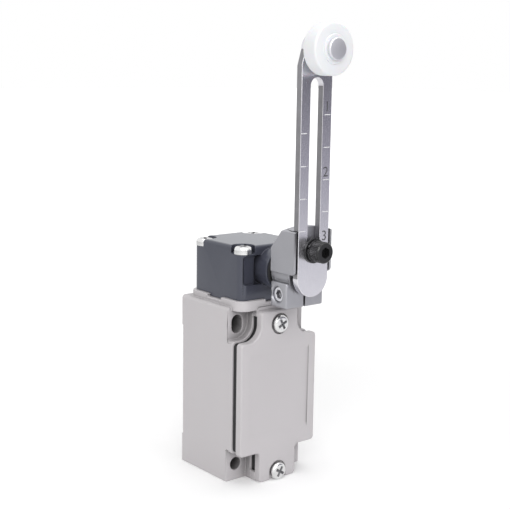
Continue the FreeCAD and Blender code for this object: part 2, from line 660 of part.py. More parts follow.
def make_bush():
    """The plain bearing in the boss."""
    span = (f"{HEAD_FRONT} - boss_reach", ROOM_FRONT)
    return cut(rod("y", SHAFT, span, BUSH_RADIUS), rod("y", SHAFT, span, "shaft_radius + running_gap"))


def make_shaft_seal():
    """The rubber ring in front of the boss."""
    span = (f"{HEAD_FRONT} - boss_reach - seal_thick", f"{HEAD_FRONT} - boss_reach")
    return cut(rod("y", SHAFT, span, "boss_radius - seal_inset"),
               rod("y", SHAFT, span, "shaft_radius + seal_gap"))


def make_shaft():
    """The lever shaft, bevelled at its front end and drilled for the cam pin."""
    solid = fuse(rod("y", SHAFT, ("-shaft_front + shaft_bevel", "-shaft_back"), "shaft_radius"),
                 cone("y", SHAFT, ("-shaft_front", "-shaft_front + shaft_bevel"),
                      "shaft_radius - shaft_bevel", "shaft_radius"))
    reach = ("shaft_height - 2 * shaft_radius", "shaft_height + 2 * shaft_radius")
    return cut(solid, rod("z", ("0", "-head_depth"), reach, "pin_radius"))


def make_retaining_ring():
    """The ring that keeps the shaft from being pulled out."""
    span = (f"{ROOM_FRONT} + end_gap", f"{ROOM_FRONT} + end_gap + ring_thick")
    return cut(rod("y", SHAFT, span, "shaft_radius + ring_rise"), rod("y", SHAFT, span, "shaft_radius"))


def make_cam():
    """The cam. Its working side is the involute that moves a flat follower evenly with the lever."""
    start = 72
    working = []
    for degrees in range(-start, start + 1, 18):
        angle = math.radians(degrees)
        reach = VALUE["cam_reach"] + CAM_RISE * angle
        working.append(Vector(reach * math.sin(angle) + CAM_RISE * math.cos(angle), 0,
                              -reach * math.cos(angle) + CAM_RISE * math.sin(angle)))
    curve = Part.BSplineCurve()
    curve.interpolate(working)
    top = Vector(0, 0, VALUE["cam_hub_radius"])
    wire = Part.Wire([curve.toShape(), Part.makeLine(working[-1], top), Part.makeLine(top, working[0])])
    lobe = DOC.addObject("Part::Feature", "CamLobe")
    lobe.Shape = Part.Face(wire).extrude(Vector(0, VALUE["cam_width"], 0))
    place(lobe, "0", "-head_depth - cam_width / 2", "shaft_height")
    span = ("-head_depth - cam_width / 2", "-head_depth + cam_width / 2")
    through = ("shaft_height - 2 * cam_hub_radius", "shaft_height + 2 * cam_hub_radius")
    return cut(fuse(lobe, rod("y", SHAFT, span, "cam_hub_radius")), rod("y", SHAFT, span, "shaft_radius"),
               rod("z", ("0", "-head_depth"), through, "pin_radius"))


def make_cam_pin():
    """The pin through cam and shaft, just inside the cam's round part."""
    reach = "cam_hub_radius - end_gap"
    span = (f"shaft_height - ({reach})", f"shaft_height + {reach}")
    return rod("z", ("0", "-head_depth"), span, "pin_radius")


# ---------------------------------------------------------------- plunger and switch element

PLUNGER_TOP = "shaft_height - cam_reach - running_gap"
AXIS_DOWN = ("0", "-head_depth")


def make_plunger():
    """The plunger that the cam presses down."""
    under = f"{PLUNGER_TOP} - plunger_flange_thick"
    return fuse(rod("z", AXIS_DOWN, (under, PLUNGER_TOP), "plunger_flange_radius"),
                rod("z", AXIS_DOWN, ("button_top + running_gap", under), "plunger_radius"))


def spring(foot, top, inner, wire):
    """The space that a coil spring takes: a sleeve one wire thick."""
    span = (f"{foot} + running_gap", f"{top} - running_gap")
    return cut(rod("z", AXIS_DOWN, span, f"{inner} + {wire}"), rod("z", AXIS_DOWN, span, inner))


def make_return_spring():
    """The spring that lifts the plunger and so swings the lever back."""
    top = f"{PLUNGER_TOP} - plunger_flange_thick"
    return spring("spring_seat", top, "plunger_radius + spring_gap", "spring_wire")


def make_contact_spring():
    """The small spring between button and moving contact."""
    return spring("blade_foot + blade_thick", "button_foot", "contact_spring_radius", "contact_wire")


BASE_BACK = "-pad_rise - case_wall"


def both_sides(inner, outer):
    """The two X spans between inner and outer, right and left."""
    return ((inner, outer), (f"-({outer})", f"-({inner})"))


NC_PAD = "blade_foot + blade_thick + contact_thick + running_gap"
NO_PAD = "blade_foot - contact_thick - contact_stroke - running_gap"


def straps(inner, outer, contact_x, pad, level, foot):
    """A pair of terminal straps: a shelf in the contact chamber, a tongue down the front, a rivet."""
    pair = []
    for sign, (x0, x1) in zip(("", "-"), both_sides(inner, outer)):
        shelf_x = (f"min({x0}; {sign}({contact_x} - contact_radius); {sign}({contact_x} + contact_radius))",
                   f"max({x1}; {sign}({contact_x} - contact_radius); {sign}({contact_x} + contact_radius))")
        shelf = block(shelf_x, ("-base_front", "-head_depth + contact_radius"), level)
        tongue = block((x0, x1), ("-base_front - strap_thick", "-base_front"), (foot, level[1]))
        rivet = rod("z", (f"{sign}({contact_x})", "-head_depth"), pad, "contact_radius")
        pair.append(fuse(shelf, tongue, rivet))
    return pair


def strap_sets():
    """The straps of the break contacts, above the blade, and of the make contacts, below it."""
    x = "contact_spacing / 2"
    nc_level = (f"{NC_PAD} + contact_thick", f"{NC_PAD} + contact_thick + strap_thick")
    no_level = (f"{NO_PAD} - contact_thick - strap_thick", f"{NO_PAD} - contact_thick")
    nc = straps("nc_strap_inner", "nc_strap_outer", x, (NC_PAD, nc_level[0]), nc_level,
                "-nc_screw_drop - strap_end")
    no = straps("no_strap_inner", "no_strap_outer", x, (no_level[1], NO_PAD), no_level,
                "-no_screw_drop - strap_end")
    return nc, no


def terminal_spots():
    """The four terminal screws, as X and Z."""
    return [(f"{sign}{kind}_screw_x", f"-{kind}_screw_drop") for kind in ("nc", "no") for sign in ("", "-")]


def make_switch_base():
    """The moulded base of the snap switch."""
    solid = block(("-base_width / 2", "base_width / 2"), ("-base_front", BASE_BACK),
                  ("-base_foot", "base_top"))
    room = block(("-contact_room_width / 2", "contact_room_width / 2"),
                 ("-base_front", "-base_front + contact_room_depth"),
                 ("contact_room_foot", "contact_room_top"))
    holes = [rod("z", AXIS_DOWN, ("contact_room_top", "base_top"), "button_radius + running_gap")]
    holes += [rod("y", (x, z), ("-base_front", "-base_front + terminal_screw_reach"), "terminal_screw_radius")
              for x, z in terminal_spots()]
    holes += [rod("y", (x, "-base_screw_drop"), ("-base_front", BASE_BACK), "terminal_screw_radius")
              for x in ("-base_screw_x", "base_screw_x")]
    return cut(solid, room, *holes)


def make_switch_cover():
    """The plate that closes the contact chamber, notched for the straps."""
    plate = block(("-base_width / 2 + closure_inset", "base_width / 2 - closure_inset"),
                  ("-base_front - closure_thick", "-base_front"),
                  ("contact_room_foot - closure_overlap", "contact_room_top + closure_overlap"))
    top = f"{NC_PAD} + contact_thick + strap_thick"
    foot = "contact_room_foot - closure_overlap"
    gaps = [block(span, ("-base_front - strap_thick", "-base_front"), (foot, top))
            for span in (*both_sides("nc_strap_inner", "nc_strap_outer"),
                         *both_sides("no_strap_inner", "no_strap_outer"))]
    return cut(plate, *gaps)


def make_terminal_clamps():
    """The square wire clamps under the terminal screws."""
    clamps = []
    for x, z in terminal_spots():
        half = "terminal_head_radius"
        plate = block((f"{x} - {half}", f"{x} + {half}"),
                      ("-base_front - strap_thick - clamp_thick", "-base_front - strap_thick"),
                      (f"{z} - {half}", f"{z} + {half}"))
        clamps.append(cut(plate, rod("y", (x, z), ("-base_front - strap_thick - clamp_thick",
                                                   "-base_front - strap_thick"), "terminal_screw_radius")))
    return group(*clamps)


def drilled(pair, spots):
    """Straps with the holes of their screws."""
    span = ("-base_front - strap_thick", "-base_front")
    return group(*[cut(strap, rod("y", spot, span, "terminal_screw_radius"))
                   for strap, spot in zip(pair, spots)])


def make_terminal_screws():
    """The four terminal screws."""
    stack = "strap_thick + clamp_thick"
    reach = f"{stack} + terminal_screw_reach - end_gap"
    return group(*[front_screw(spot, f"base_front + {stack}", reach, "terminal_screw_radius",
                               "terminal_head_radius", "terminal_head_thick") for spot in terminal_spots()])


def make_base_screws():
    """The two screws that hold the switch base."""
    reach = "base_front - pad_rise - hole_floor - end_gap"
    return group(*[front_screw((x, "-base_screw_drop"), "base_front", reach, "terminal_screw_radius",
                               "terminal_head_radius", "base_head_thick")
                   for x in ("-base_screw_x", "base_screw_x")])


def make_ground_screw():
    """The protective-earth screw in the wiring chamber."""
    return front_screw(("ground_x", "-ground_drop"), "pad_rise + case_wall",
                       "case_wall - hole_floor - end_gap")


def make_button():
    """The button on top of the switch element."""
    cap = ("button_top - button_cap_thick", "button_top")
    return fuse(rod("z", AXIS_DOWN, ("button_foot", "button_top"), "button_radius"),
                rod("z", AXIS_DOWN, cap, "button_radius + button_cap_rise"))


def make_moving_contact():
    """The blade that bridges the contacts, with a rivet at each end."""
    top = "blade_foot + blade_thick"
    parts = [block(("-blade_length / 2", "blade_length / 2"),
                   ("-head_depth - blade_width / 2", "-head_depth + blade_width / 2"), ("blade_foot", top))]
    for x in ("-contact_spacing / 2", "contact_spacing / 2"):
        parts.append(rod("z", (x, "-head_depth"), ("blade_foot - contact_thick", f"{top} + contact_thick"),
                         "contact_radius"))
    return fuse(*parts)


# ---------------------------------------------------------------- lever

ARM_BACK = "-hub_floor - arm_gap"
ARM_FRONT = "-hub_floor - arm_gap - arm_thick"
WASHER_BACK = f"{ARM_FRONT} - arm_gap"
WASHER_FRONT = f"{WASHER_BACK} - flat_washer_thick"
LOCK_FRONT = f"{WASHER_FRONT} - lock_washer_thick"
BOLT = ("0", "bolt_height")
CLAMP_AXIS = ("-clamp_screw_depth", "clamp_screw_height")


def make_hub():
    """The lever hub: an arm channel above, a round waist, and split clamping jaws below."""
    width = "hub_width / 2"
    profile = [("-hub_back", "hub_foot"), ("-hub_back", "hub_slope_foot"), ("-hub_slope_depth", "hub_top"),
               ("-hub_front", "hub_top"), ("-hub_front", "hub_foot")]
    upper = outline_body("YZ_Plane", profile, f"-{width}", "hub_width", "HubUpper")
    arch = "(hub_width ^ 2 / 4 + (hub_top - hub_side_top) ^ 2) / (2 * (hub_top - hub_side_top))"
    dome = rod("y", ("0", f"hub_top - {arch}"), ("-hub_front", "-hub_back"), arch)
    upper = rounded(common(upper, dome), "hub_corner",
                    lambda p, q: near(p.y, q.y) and near(p.y, -VALUE["hub_front"])
                    and near(p.z, q.z) and near(p.z, VALUE["hub_foot"]))
    jaws = block((f"-{width}", width), ("-jaw_front", "-jaw_back"), ("jaw_foot", "jaw_top"))
    waist = rod("y", SHAFT, ("-jaw_front", "-jaw_back"), "waist_radius")
    collar = rod("y", SHAFT, ("-jaw_back", "-collar_back"), "collar_radius")
    cuts = [
        block(("-channel_width / 2", "channel_width / 2"), ("-hub_front", "-hub_floor"),
              ("hub_foot", "hub_top + hub_width")),
        rod("y", SHAFT, ("-shaft_front - end_gap", "-collar_back"), "shaft_radius"),
        block(("-slit_width / 2", "slit_width / 2"), ("-jaw_front", "-collar_back"),
              ("jaw_foot", "shaft_height - shaft_radius + slit_width")),
        rod("y", BOLT, ("-hub_floor", "-hub_floor + bolt_reach"), "bolt_radius"),
        rod("x", CLAMP_AXIS, (f"-{width}", f"-{width} + clamp_head_sink + clamp_head_thick"),
            "clamp_head_radius + hole_gap"),
        rod("x", CLAMP_AXIS, (f"-{width}", f"{width} - hole_floor"), "clamp_screw_radius"),
    ]
    return cut(fuse(upper, jaws, waist, collar), *cuts)


def make_clamp_screw():
    """The socket screw that pulls the jaws onto the shaft."""
    left = "-hub_width / 2 + clamp_head_sink"
    under = f"{left} + clamp_head_thick"
    solid = fuse(rod("x", CLAMP_AXIS, (left, under), "clamp_head_radius"),
                 rod("x", CLAMP_AXIS, (under, "hub_width / 2 - hole_floor - end_gap"), "clamp_screw_radius"))
    socket = (left, f"{left} + clamp_screw_radius")
    return cut(solid, hexagon("x", CLAMP_AXIS, socket, f"clamp_screw_radius * {HEX_SHARE}"))


def make_arm():
    """The slotted lever arm, round at both ends, with an engraved length scale."""
    half = "arm_width / 2"
    tip = "arm_tip_radius"
    slope = [(f"-{half}", "arm_round_centre"), (half, "arm_round_centre"), (half, "arm_shoulder"),
             (tip, "roller_height"), (f"-{tip}", "roller_height"), (f"-{half}", "arm_shoulder")]
    blade = outline_body("XZ_Plane", slope, "hub_floor + arm_gap", "arm_thick", "ArmBlade")
    span = (ARM_FRONT, ARM_BACK)
    solid = fuse(blade, rod("y", ("0", "arm_round_centre"), span, half),
                 rod("y", ("0", "roller_height"), span, tip))
    slot = "arm_slot_width / 2"
    cuts = [block((f"-{slot}", slot), span, ("arm_slot_low", "arm_slot_high")),
            rod("y", ("0", "arm_slot_low"), span, slot), rod("y", ("0", "arm_slot_high"), span, slot),
            rod("y", ("0", "roller_height"), span, "axle_radius")]
    face = (ARM_FRONT, f"{ARM_FRONT} + tick_sink")
    for highest, x in (("tick_right", (f"{slot} + tick_inset", half)),
                       ("tick_left", (f"-{half}", f"-{slot} - tick_inset"))):
        for step in range(4):
            z = f"{highest} - {step} * tick_pitch"
            cuts.append(block(x, face, (f"{z} - tick_width / 2", f"{z} + tick_width / 2")))
    return cut(solid, *cuts)


def make_arm_bolt():
    """The socket-head bolt that clamps the arm at the chosen length."""
    front = f"{LOCK_FRONT} - bolt_head_thick"
    solid = fuse(rod("y", BOLT, (front, LOCK_FRONT), "bolt_head_radius"),
                 rod("y", BOLT, (LOCK_FRONT, "-hub_floor + bolt_reach - end_gap"), "bolt_radius"))
    return cut(solid, hexagon("y", BOLT, (front, f"{front} + bolt_head_thick * {RECESS_DEPTH}"),
                              f"bolt_radius * {HEX_SHARE}"))


def washer(span, radius):
    """A flat ring round the arm bolt."""
    return cut(rod("y", BOLT, span, radius), rod("y", BOLT, span, "bolt_radius"))


def make_lock_washer():
    """The split spring washer under the bolt head."""
    span = (LOCK_FRONT, WASHER_FRONT)
    gap = block(("0", "2 * lock_washer_radius"), span,
                ("bolt_height - lock_gap / 2", "bolt_height + lock_gap / 2"))
    return cut(washer(span, "lock_washer_radius"), gap)


ROLLER_AXIS = ("0", "roller_height")
COLLAR_FRONT = f"{ARM_FRONT} - axle_collar_thick"
ROLLER_BACK = f"{COLLAR_FRONT} - side_play"
ROLLER_FRONT = f"{ROLLER_BACK} - roller_width"
HEAD_BACK = f"{ROLLER_FRONT} - roller_boss_rise - side_play"


def make_roller_pin():
    """The riveted pin that carries the roller."""
    return fuse(rod("y", ROLLER_AXIS, (HEAD_BACK, ARM_BACK), "axle_radius"),
                rod("y", ROLLER_AXIS, (COLLAR_FRONT, ARM_FRONT), "axle_collar_radius"),
                rod("y", ROLLER_AXIS, (f"{HEAD_BACK} - axle_head_thick", HEAD_BACK), "axle_head_radius"),
                rod("y", ROLLER_AXIS, (ARM_BACK, f"{ARM_BACK} + axle_tail_thick"), "axle_head_radius"))


def make_roller():
    """The plastic roller."""
    tread = DOC.addObject("Part::Feature", "Tread")
    disc = Part.makeCylinder(VALUE["roller_radius"], VALUE["roller_width"], Vector(), Vector(0, 1, 0))
    tread.Shape = disc.makeFillet(VALUE["roller_round"], [e for e in disc.Edges if len(e.Vertexes) == 1])
    place(tread, "0", ROLLER_FRONT, "roller_height")
    boss = rod("y", ROLLER_AXIS, (f"{ROLLER_FRONT} - roller_boss_rise", ROLLER_FRONT), "roller_boss_radius")
    bore = rod("y", ROLLER_AXIS, (f"{ROLLER_FRONT} - roller_boss_rise", ROLLER_BACK),
               "axle_radius + running_gap")
    return cut(fuse(tread, boss), bore)


# ---------------------------------------------------------------- assembly

def build():
    """Builds every sub-part in the order it would be put together."""
    nc_pair, no_pair = strap_sets()
    spots = terminal_spots()
    node("case", make_case())
    node("cover_gasket", make_gasket())
    node("cover", make_cover())
    node("cover_screws", make_cover_screws())
    node("ground_screw", make_ground_screw())
    node("switch_base", make_switch_base())
    node("switch_cover", make_switch_cover())
    node("switch_mounting_screws", make_base_screws())
    node("nc_terminals", drilled(nc_pair, spots[:2]))
    node("no_terminals", drilled(no_pair, spots[2:]))
    node("terminal_clamps", make_terminal_clamps())
    node("terminal_screws", make_terminal_screws())
    node("moving_contact", make_moving_contact())
    node("contact_spring", make_contact_spring())
    node("switch_button", make_button())
    node("plunger", make_plunger())
    node("return_spring", make_return_spring())
    node("head_housing", make_head())
    node("head_gasket", make_head_gasket())
    node("head_screws", make_head_screws())
    node("shaft_bushing", make_bush())
    node("shaft_seal", make_shaft_seal())
    node("lever_shaft", make_shaft())
    node("shaft_retaining_ring", make_retaining_ring())
    node("cam", make_cam())
    node("cam_pin", make_cam_pin())
    node("lever_hub", make_hub())
    node("clamp_screw", make_clamp_screw())
    node("lever_arm", make_arm())
    node("arm_flat_washer", washer((WASHER_FRONT, WASHER_BACK), "flat_washer_radius"))
    node("arm_spring_washer", make_lock_washer())
    node("arm_bolt", make_arm_bolt())
    node("roller_pin", make_roller_pin())
    node("roller", make_roller())


def check_and_write():
    """Refuses a failed object or an invalid shape, then writes one STEP file per sub-part."""
    DOC.recompute()
    for thing in DOC.Objects:
        failed = {"Invalid", "Error"} & set(thing.State)
        if failed:
            raise RuntimeError(f"{thing.Name} ({thing.Label}) is {failed}")
    os.makedirs("parts", exist_ok=True)
    for thing in NODES:
        shape = thing.Shape
        if shape.isNull() or not shape.isValid() or not shape.Solids:
            raise RuntimeError(f"{thing.Label} has no valid solid")
        print(thing.Label, len(shape.Solids), "solids", round(shape.Volume, 1), "mm3")
        shape.exportStep(f"parts/{thing.Label}.step")


build()
check_and_write()
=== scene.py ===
"""Side-rotary limit switch with an adjustable roller lever: its finished surfaces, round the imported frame."""

import math

import bpy
from bpy.props import FloatProperty, FloatVectorProperty, IntProperty, PointerProperty
from mathutils import Matrix, Vector


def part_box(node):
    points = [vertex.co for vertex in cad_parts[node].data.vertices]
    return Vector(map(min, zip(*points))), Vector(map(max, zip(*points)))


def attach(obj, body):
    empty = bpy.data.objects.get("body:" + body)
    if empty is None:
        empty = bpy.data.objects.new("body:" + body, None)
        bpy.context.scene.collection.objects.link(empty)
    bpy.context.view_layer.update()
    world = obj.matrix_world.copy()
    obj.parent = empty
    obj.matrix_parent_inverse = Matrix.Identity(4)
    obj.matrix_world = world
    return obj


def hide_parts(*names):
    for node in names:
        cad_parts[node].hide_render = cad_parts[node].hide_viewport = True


bl_info = {
    "name": "Limit Switch",
    "version": (1, 0, 0),
    "blender": (4, 5, 0),
    "location": "View3D > Sidebar > Limit Switch",
    "description": "Models a roller-lever limit switch and its finishes",
    "category": "Add Mesh",
}

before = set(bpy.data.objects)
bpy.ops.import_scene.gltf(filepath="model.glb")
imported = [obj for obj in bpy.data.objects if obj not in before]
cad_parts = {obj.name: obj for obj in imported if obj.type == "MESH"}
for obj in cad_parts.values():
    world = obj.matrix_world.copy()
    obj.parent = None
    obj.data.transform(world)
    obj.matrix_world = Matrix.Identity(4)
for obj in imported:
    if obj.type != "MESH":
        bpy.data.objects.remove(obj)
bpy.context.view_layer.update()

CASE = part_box("case")
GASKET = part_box("cover_gasket")
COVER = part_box("cover")
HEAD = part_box("head_housing")
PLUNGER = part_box("plunger")
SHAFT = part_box("lever_shaft")
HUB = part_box("lever_hub")
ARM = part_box("lever_arm")
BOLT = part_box("arm_bolt")
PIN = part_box("roller_pin")
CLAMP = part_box("clamp_screw")
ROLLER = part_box("roller")
AXES = {"x": (0, 1, 2), "y": (1, 0, 2), "z": (2, 0, 1)}
SHAFT_AXIS = ((SHAFT[0].x + SHAFT[1].x) / 2, (SHAFT[0].z + SHAFT[1].z) / 2)
HEAD_AXIS_Y = (PLUNGER[0].y + PLUNGER[1].y) / 2
HEAD_FOOT = CASE[1].z
HEAD_HALF = (HEAD[1].x - HEAD[0].x) / 2
ROLLER_AXIS = (0.0, (ROLLER[0].z + ROLLER[1].z) / 2)
BOLT_AXIS = (0.0, (BOLT[0].z + BOLT[1].z) / 2)

# Lengths in metres, shares and turns that hide inside a piece or follow from its neighbours, so that no user
# would change them on their own.
PAST = 0.01  # how far a cutter runs past the face that it opens
FAR = 0.05  # outside the case on every side
MEET = 0.001  # overlap of neighbouring rooms
SINK = 0.0002  # how deep a shank starts inside its head
SKIN = 0.00002  # the least distance between two faces that would otherwise coincide
NEARLY = 0.995  # share of a slot's half width that its round ends take
LIP_GAP = 0.0001  # between the case's lips and the cover's back
RIM_START = 1.5  # where the rim starts behind the lugs' front, as a share of their rounding
CHAMBER_FRONT, ROOM_FRONT, UPPER_HALF, UPPER_TOP = 0.04, 0.027, 0.008, 0.029
PLUNGER_FOOT, PLUNGER_BORE = 0.028, 0.0041
SPRING_SEAT, SPRING_BORE = 0.0345, 0.0064
THREAD_START = 0.75  # the first ring's height, as a share of the pitch
THREAD_HALF, THREAD_DEPTH = 0.0003, 0.0004
TAPPING_END, TAPPING_BORE = 0.029, 0.0018
COVER_BORE, GASKET_BORE, GASKET_INSET = 0.002, 0.00195, 0.0007
SEAL_BORE, SEAL_GROOVE = 0.0043, 0.0003
SEAL_GROOVE_SHARE = 0.82  # the groove's radius, as a share of the seal's
HOLLOW_ROUND, KEY_OVERLAP, BOSS_OVERLAP = 0.0014, 0.002, 0.006
HOLLOW_TAPER = 0.2  # how much the hollows' floor narrows and their mouth widens, as a share
ROOM_HALF_DEPTH = 0.01
COVER_TURNS, HEAD_TURNS = (28, 31), (20, 37)  # degrees of the first screw, and from one screw to the next
FRONT_BEARING, REAR_BEARING, REAR_BEARING_END = 0.0056, 0.00405, 0.006
HEAD_SCREW_BORE, HEAD_SCREW_REACH, COVER_SCREW_REACH = 0.0019, 0.0228, 0.0102
HUB_BORE, BORE_GAP, JAW_ROUND, COLLAR_OVERLAP = 0.00402, 0.0003, 0.0007, 0.0005
SLIT_FRONT, SLIT_END = 0.06, 0.0035
CLAMP_THREAD, CLAMP_THREAD_WALL, CLAMP_SHANK = 0.00202, 0.0008, 0.00198
CLAMP_SOCKET, CLAMP_SOCKET_DEPTH = 0.0019, 0.002
BOLT_THREAD, BOLT_THREAD_END, BOLT_SOCKET_DEPTH = 0.00252, 0.0485, 0.0027
PIN_HOLE, TICK_GAP, DIGIT_RISE = 0.00302, 0.0009, 0.0012
FILL_START, FILL_END = 0.0003, 0.0006  # from a groove's two ends to the paint in it
DIGIT_BODY = 1.35  # a font's size over the height of its digits
SPLIT_HALF, SPLIT_TURN, SPLIT_LEAN = 0.0003, 200, 25  # the spring washer's split: half its width, and degrees
WASHER_GAP, COLLAR_GAP, ROLLER_BOSS_OVERLAP = 0.00005, 0.00015, 0.003
TAIL_TAPER = 0.82  # the riveted tail's far radius over its near one


def size(label, text, value):
    """A length in metres that a user can change."""
    return FloatProperty(name=label, description=text, default=value, min=0.0, unit="LENGTH",
                         subtype="DISTANCE", precision=5)


def colour(label, text, value):
    """A surface colour that a user can change."""
    return FloatVectorProperty(name=label, description=text, default=value, size=3, min=0.0, max=1.0,
                               subtype="COLOR")


class CaseSizes(bpy.types.PropertyGroup):
    """Sizes of the case, the cover and the seal between them."""
    edge: size("Edge", "Rounding of the cast edges", 0.00045)
    shoulder: size("Shoulder", "Rounding of the upper side edges", 0.0015)
    lug_depth: size("Lug depth", "Corner lugs, mounting face to front", 0.0322)
    rim_depth: size("Rim depth", "Case rim, mounting face to front", -GASKET[1].y)
    case_top: size("Shoulder height", "Case shoulder above the origin", 0.0374)
    tab_width: size("Tab width", "Width of the cover tabs", 0.0194)
    wing_low: size("Wing foot", "Lower edge of the wings below the origin", 0.0240)
    wing_high: size("Wing top", "Upper edge of the wings above the origin", 0.0238)
    notch_round: size("Notch rounding", "Hollow corners of the upper notches", 0.0065)
    corner_round: size("Corner rounding", "Other corners of the cross shape", 0.0016)
    platform: size("Platform", "Side of the square under the head", 0.036)
    platform_foot: size("Platform foot", "Underside of the platform over the lugs", 0.0359)
    platform_round: size("Platform rounding", "Corners of the platform", 0.005)
    key_width: size("Key notch", "Width of the notches under the head", 0.0092)
    key_drop: size("Key drop", "Depth of those notches", 0.0012)
    key_reach: size("Key reach", "Head keys, from the head's sides inwards", 0.0022)
    key_gap: size("Key gap", "Head keys to their notches", 0.0001)
    lip_round: size("Lip rounding", "Outer corners of the lips", 0.0016)
    lug_round: size("Lug rounding", "Front edges of the lugs", 0.0006)
    hole_radius: size("Hole radius", "Mounting holes", 0.00265)
    hole_half_x: size("Hole offset", "Mounting holes from the middle plane", 0.015)
    hole_half_z: size("Hole height", "Mounting holes above and below the origin", 0.03)
    slot_travel: size("Slot travel", "Straight part of the upper slots", 0.0023)
    lip: size("Lip", "Case lips above and below the seal", 0.004)
    pad_rise: size("Pad rise", "How far the back pads stand out", 0.0006)
    pad_low_top: size("Lower pad", "Top of the lower pad below the origin", 0.0245)
    pad_high_foot: size("Upper pad", "Foot of the upper pad above the origin", 0.024)
    wall: size("Wall", "Case wall", 0.0035)
    chamber_half: size("Chamber", "Half the height of the wiring chamber", 0.02)
    conduit_radius: size("Cable entry", "Radius of the cable entry", 0.0092)
    conduit_depth: size("Cable entry depth", "Its axis from the mounting face", 0.017)
    conduit_length: size("Cable entry length", "Along its axis", 0.011)
    thread_pitch: size("Thread pitch", "Thread of the cable entry", 0.0015)


class CoverSizes(bpy.types.PropertyGroup):
    """Sizes of the front cover."""
    edge: size("Edge", "Rounding of the front edge", 0.0008)
    screw_high: size("Upper screw", "Above the origin", 0.030)
    screw_low: size("Lower screw", "Below the origin", 0.0336)
    seat_radius: size("Screw seat", "Radius of the screw seats", 0.0044)
    seat_depth: size("Seat depth", "Depth of the screw seats", 0.0012)
    field_width: size("Field width", "Recessed plate field", 0.032)
    field_low: size("Field foot", "Below the origin", 0.017)
    field_high: size("Field top", "Above the origin", 0.019)
    field_sink: size("Field depth", "Depth of the plate field", 0.0004)
    field_slope: size("Field slope", "Width of the field's soft edges", 0.0018)


class HeadSizes(bpy.types.PropertyGroup):
    """Sizes of the rotary head."""
    edge: size("Edge", "Rounding of small edges", 0.0003)
    corner: size("Corner", "Upright corners", 0.0032)
    bevel: size("Bevel", "Top edge", 0.0012)
    band: size("Band", "Plain band at the foot", 0.0063)
    recess_top: size("Recess top", "Top of the front hollows above the foot", 0.0183)
    recess_outer: size("Recess width", "Outer edge of the front hollows", 0.015)
    step_inner: size("Step", "Inner end of the hollows' shallow part", 0.0106)
    step_sink: size("Step depth", "Depth of that shallow part", 0.0011)
    recess_sink: size("Recess depth", "Depth of the front hollows", 0.003)
    boss_radius: size("Boss radius", "Shaft boss", 0.0085)
    pocket_radius: size("Pocket radius", "Pockets over the screws", 0.0048)
    pocket_sink: size("Pocket depth", "Pockets over the screws", 0.0033)
    screw_offset: size("Screw offset", "Screws from the head's axis", 0.013)
    room_half: size("Cam room", "Half the hollow round the cam", 0.0096)
    top_wall: size("Top wall", "Wall over the cam room", 0.0016)


class ScrewSizes(bpy.types.PropertyGroup):
    """Sizes of the cross-recessed screws."""
    head_radius: size("Head radius", "Pan head", 0.00375)
    head_thick: size("Head height", "Pan head", 0.0029)
    head_round: size("Head rounding", "Rounded rim of the head", 0.0013)
    shank_radius: size("Shank radius", "Screw shank", 0.00172)
    recess_reach: size("Recess reach", "Length of each recess arm", 0.0023)
    recess_width: size("Recess width", "Width of the recess arms", 0.00115)
    recess_depth: size("Recess depth", "Depth of the recess", 0.0015)


class LeverSizes(bpy.types.PropertyGroup):
    """Sizes of the hub, the arm and their fasteners."""
    edge: size("Edge", "Rounding of the casting", 0.0003)
    corner: size("Corner", "Corners of the channel walls", 0.0018)
    channel: size("Channel", "Width of the arm channel", 0.0174)
    channel_floor: size("Channel floor", "From the mounting face", 0.058)
    upper_foot: size("Upper foot", "Foot of the channel above the origin", 0.0539)
    side_top: size("Side top", "Top of the channel walls above the origin", 0.0709)
    slope_foot: size("Slope foot", "Foot of the rear slope above the origin", 0.0634)
    slope_depth: size("Slope depth", "Front end of the rear slope", 0.0542)
    upper_back: size("Upper back", "Back of the channel block", 0.0465)
    jaw_back: size("Jaw back", "Back of the jaws", 0.0469)
    jaw_front: size("Jaw front", "Front of the jaws", 0.0565)
    jaw_top: size("Jaw top", "Top of the jaws above the origin", 0.0501)
    waist: size("Waist", "Radius of the waist", 0.0084)
    collar: size("Collar", "Radius of the collar", 0.0072)
    slit: size("Slit", "Slit between the jaws", 0.0009)
    clamp_height: size("Clamp height", "Clamp screw above the origin", 0.0449)
    clamp_depth: size("Clamp depth", "Clamp screw from the mounting face", 0.0507)
    clamp_radius: size("Clamp seat", "Seat of the clamp screw", 0.0031)
    clamp_head: size("Clamp head", "Head of the clamp screw", 0.0026)
    arm_edge: size("Arm edge", "Rounding of the stamped strip", 0.00025)
    arm_slot: size("Arm slot", "Width of the slot", 0.0062)
    slot_low: size("Slot foot", "Lower centre of the slot", 0.0621)
    slot_high: size("Slot top", "Upper centre of the slot", 0.127)
    shoulder: size("Shoulder", "Where the arm starts to taper", 0.1347)
    tip_radius: size("Tip radius", "Top end of the arm", 0.0061)
    tick_pitch: size("Tick pitch", "Scale marks", 0.0126)
    tick_right: size("Right tick", "Highest mark on the right", 0.116)
    tick_left: size("Left tick", "Highest mark on the left", 0.109)
    tick_width: size("Tick width", "Scale marks", 0.0004)
    tick_sink: size("Tick depth", "Scale marks", 0.00015)
    digit_height: size("Digit height", "Scale numbers", 0.0042)
    knurls: IntProperty(name="Knurls", description="Ridges round the bolt head", default=40, min=12)
    knurl_depth: size("Knurl depth", "Ridges round the bolt head", 0.00016)
    socket_radius: size("Socket", "Corner radius of the bolt's hexagon socket", 0.0023)
    bore: size("Bore", "Hole of the washers and shank of the bolt", 0.0025)


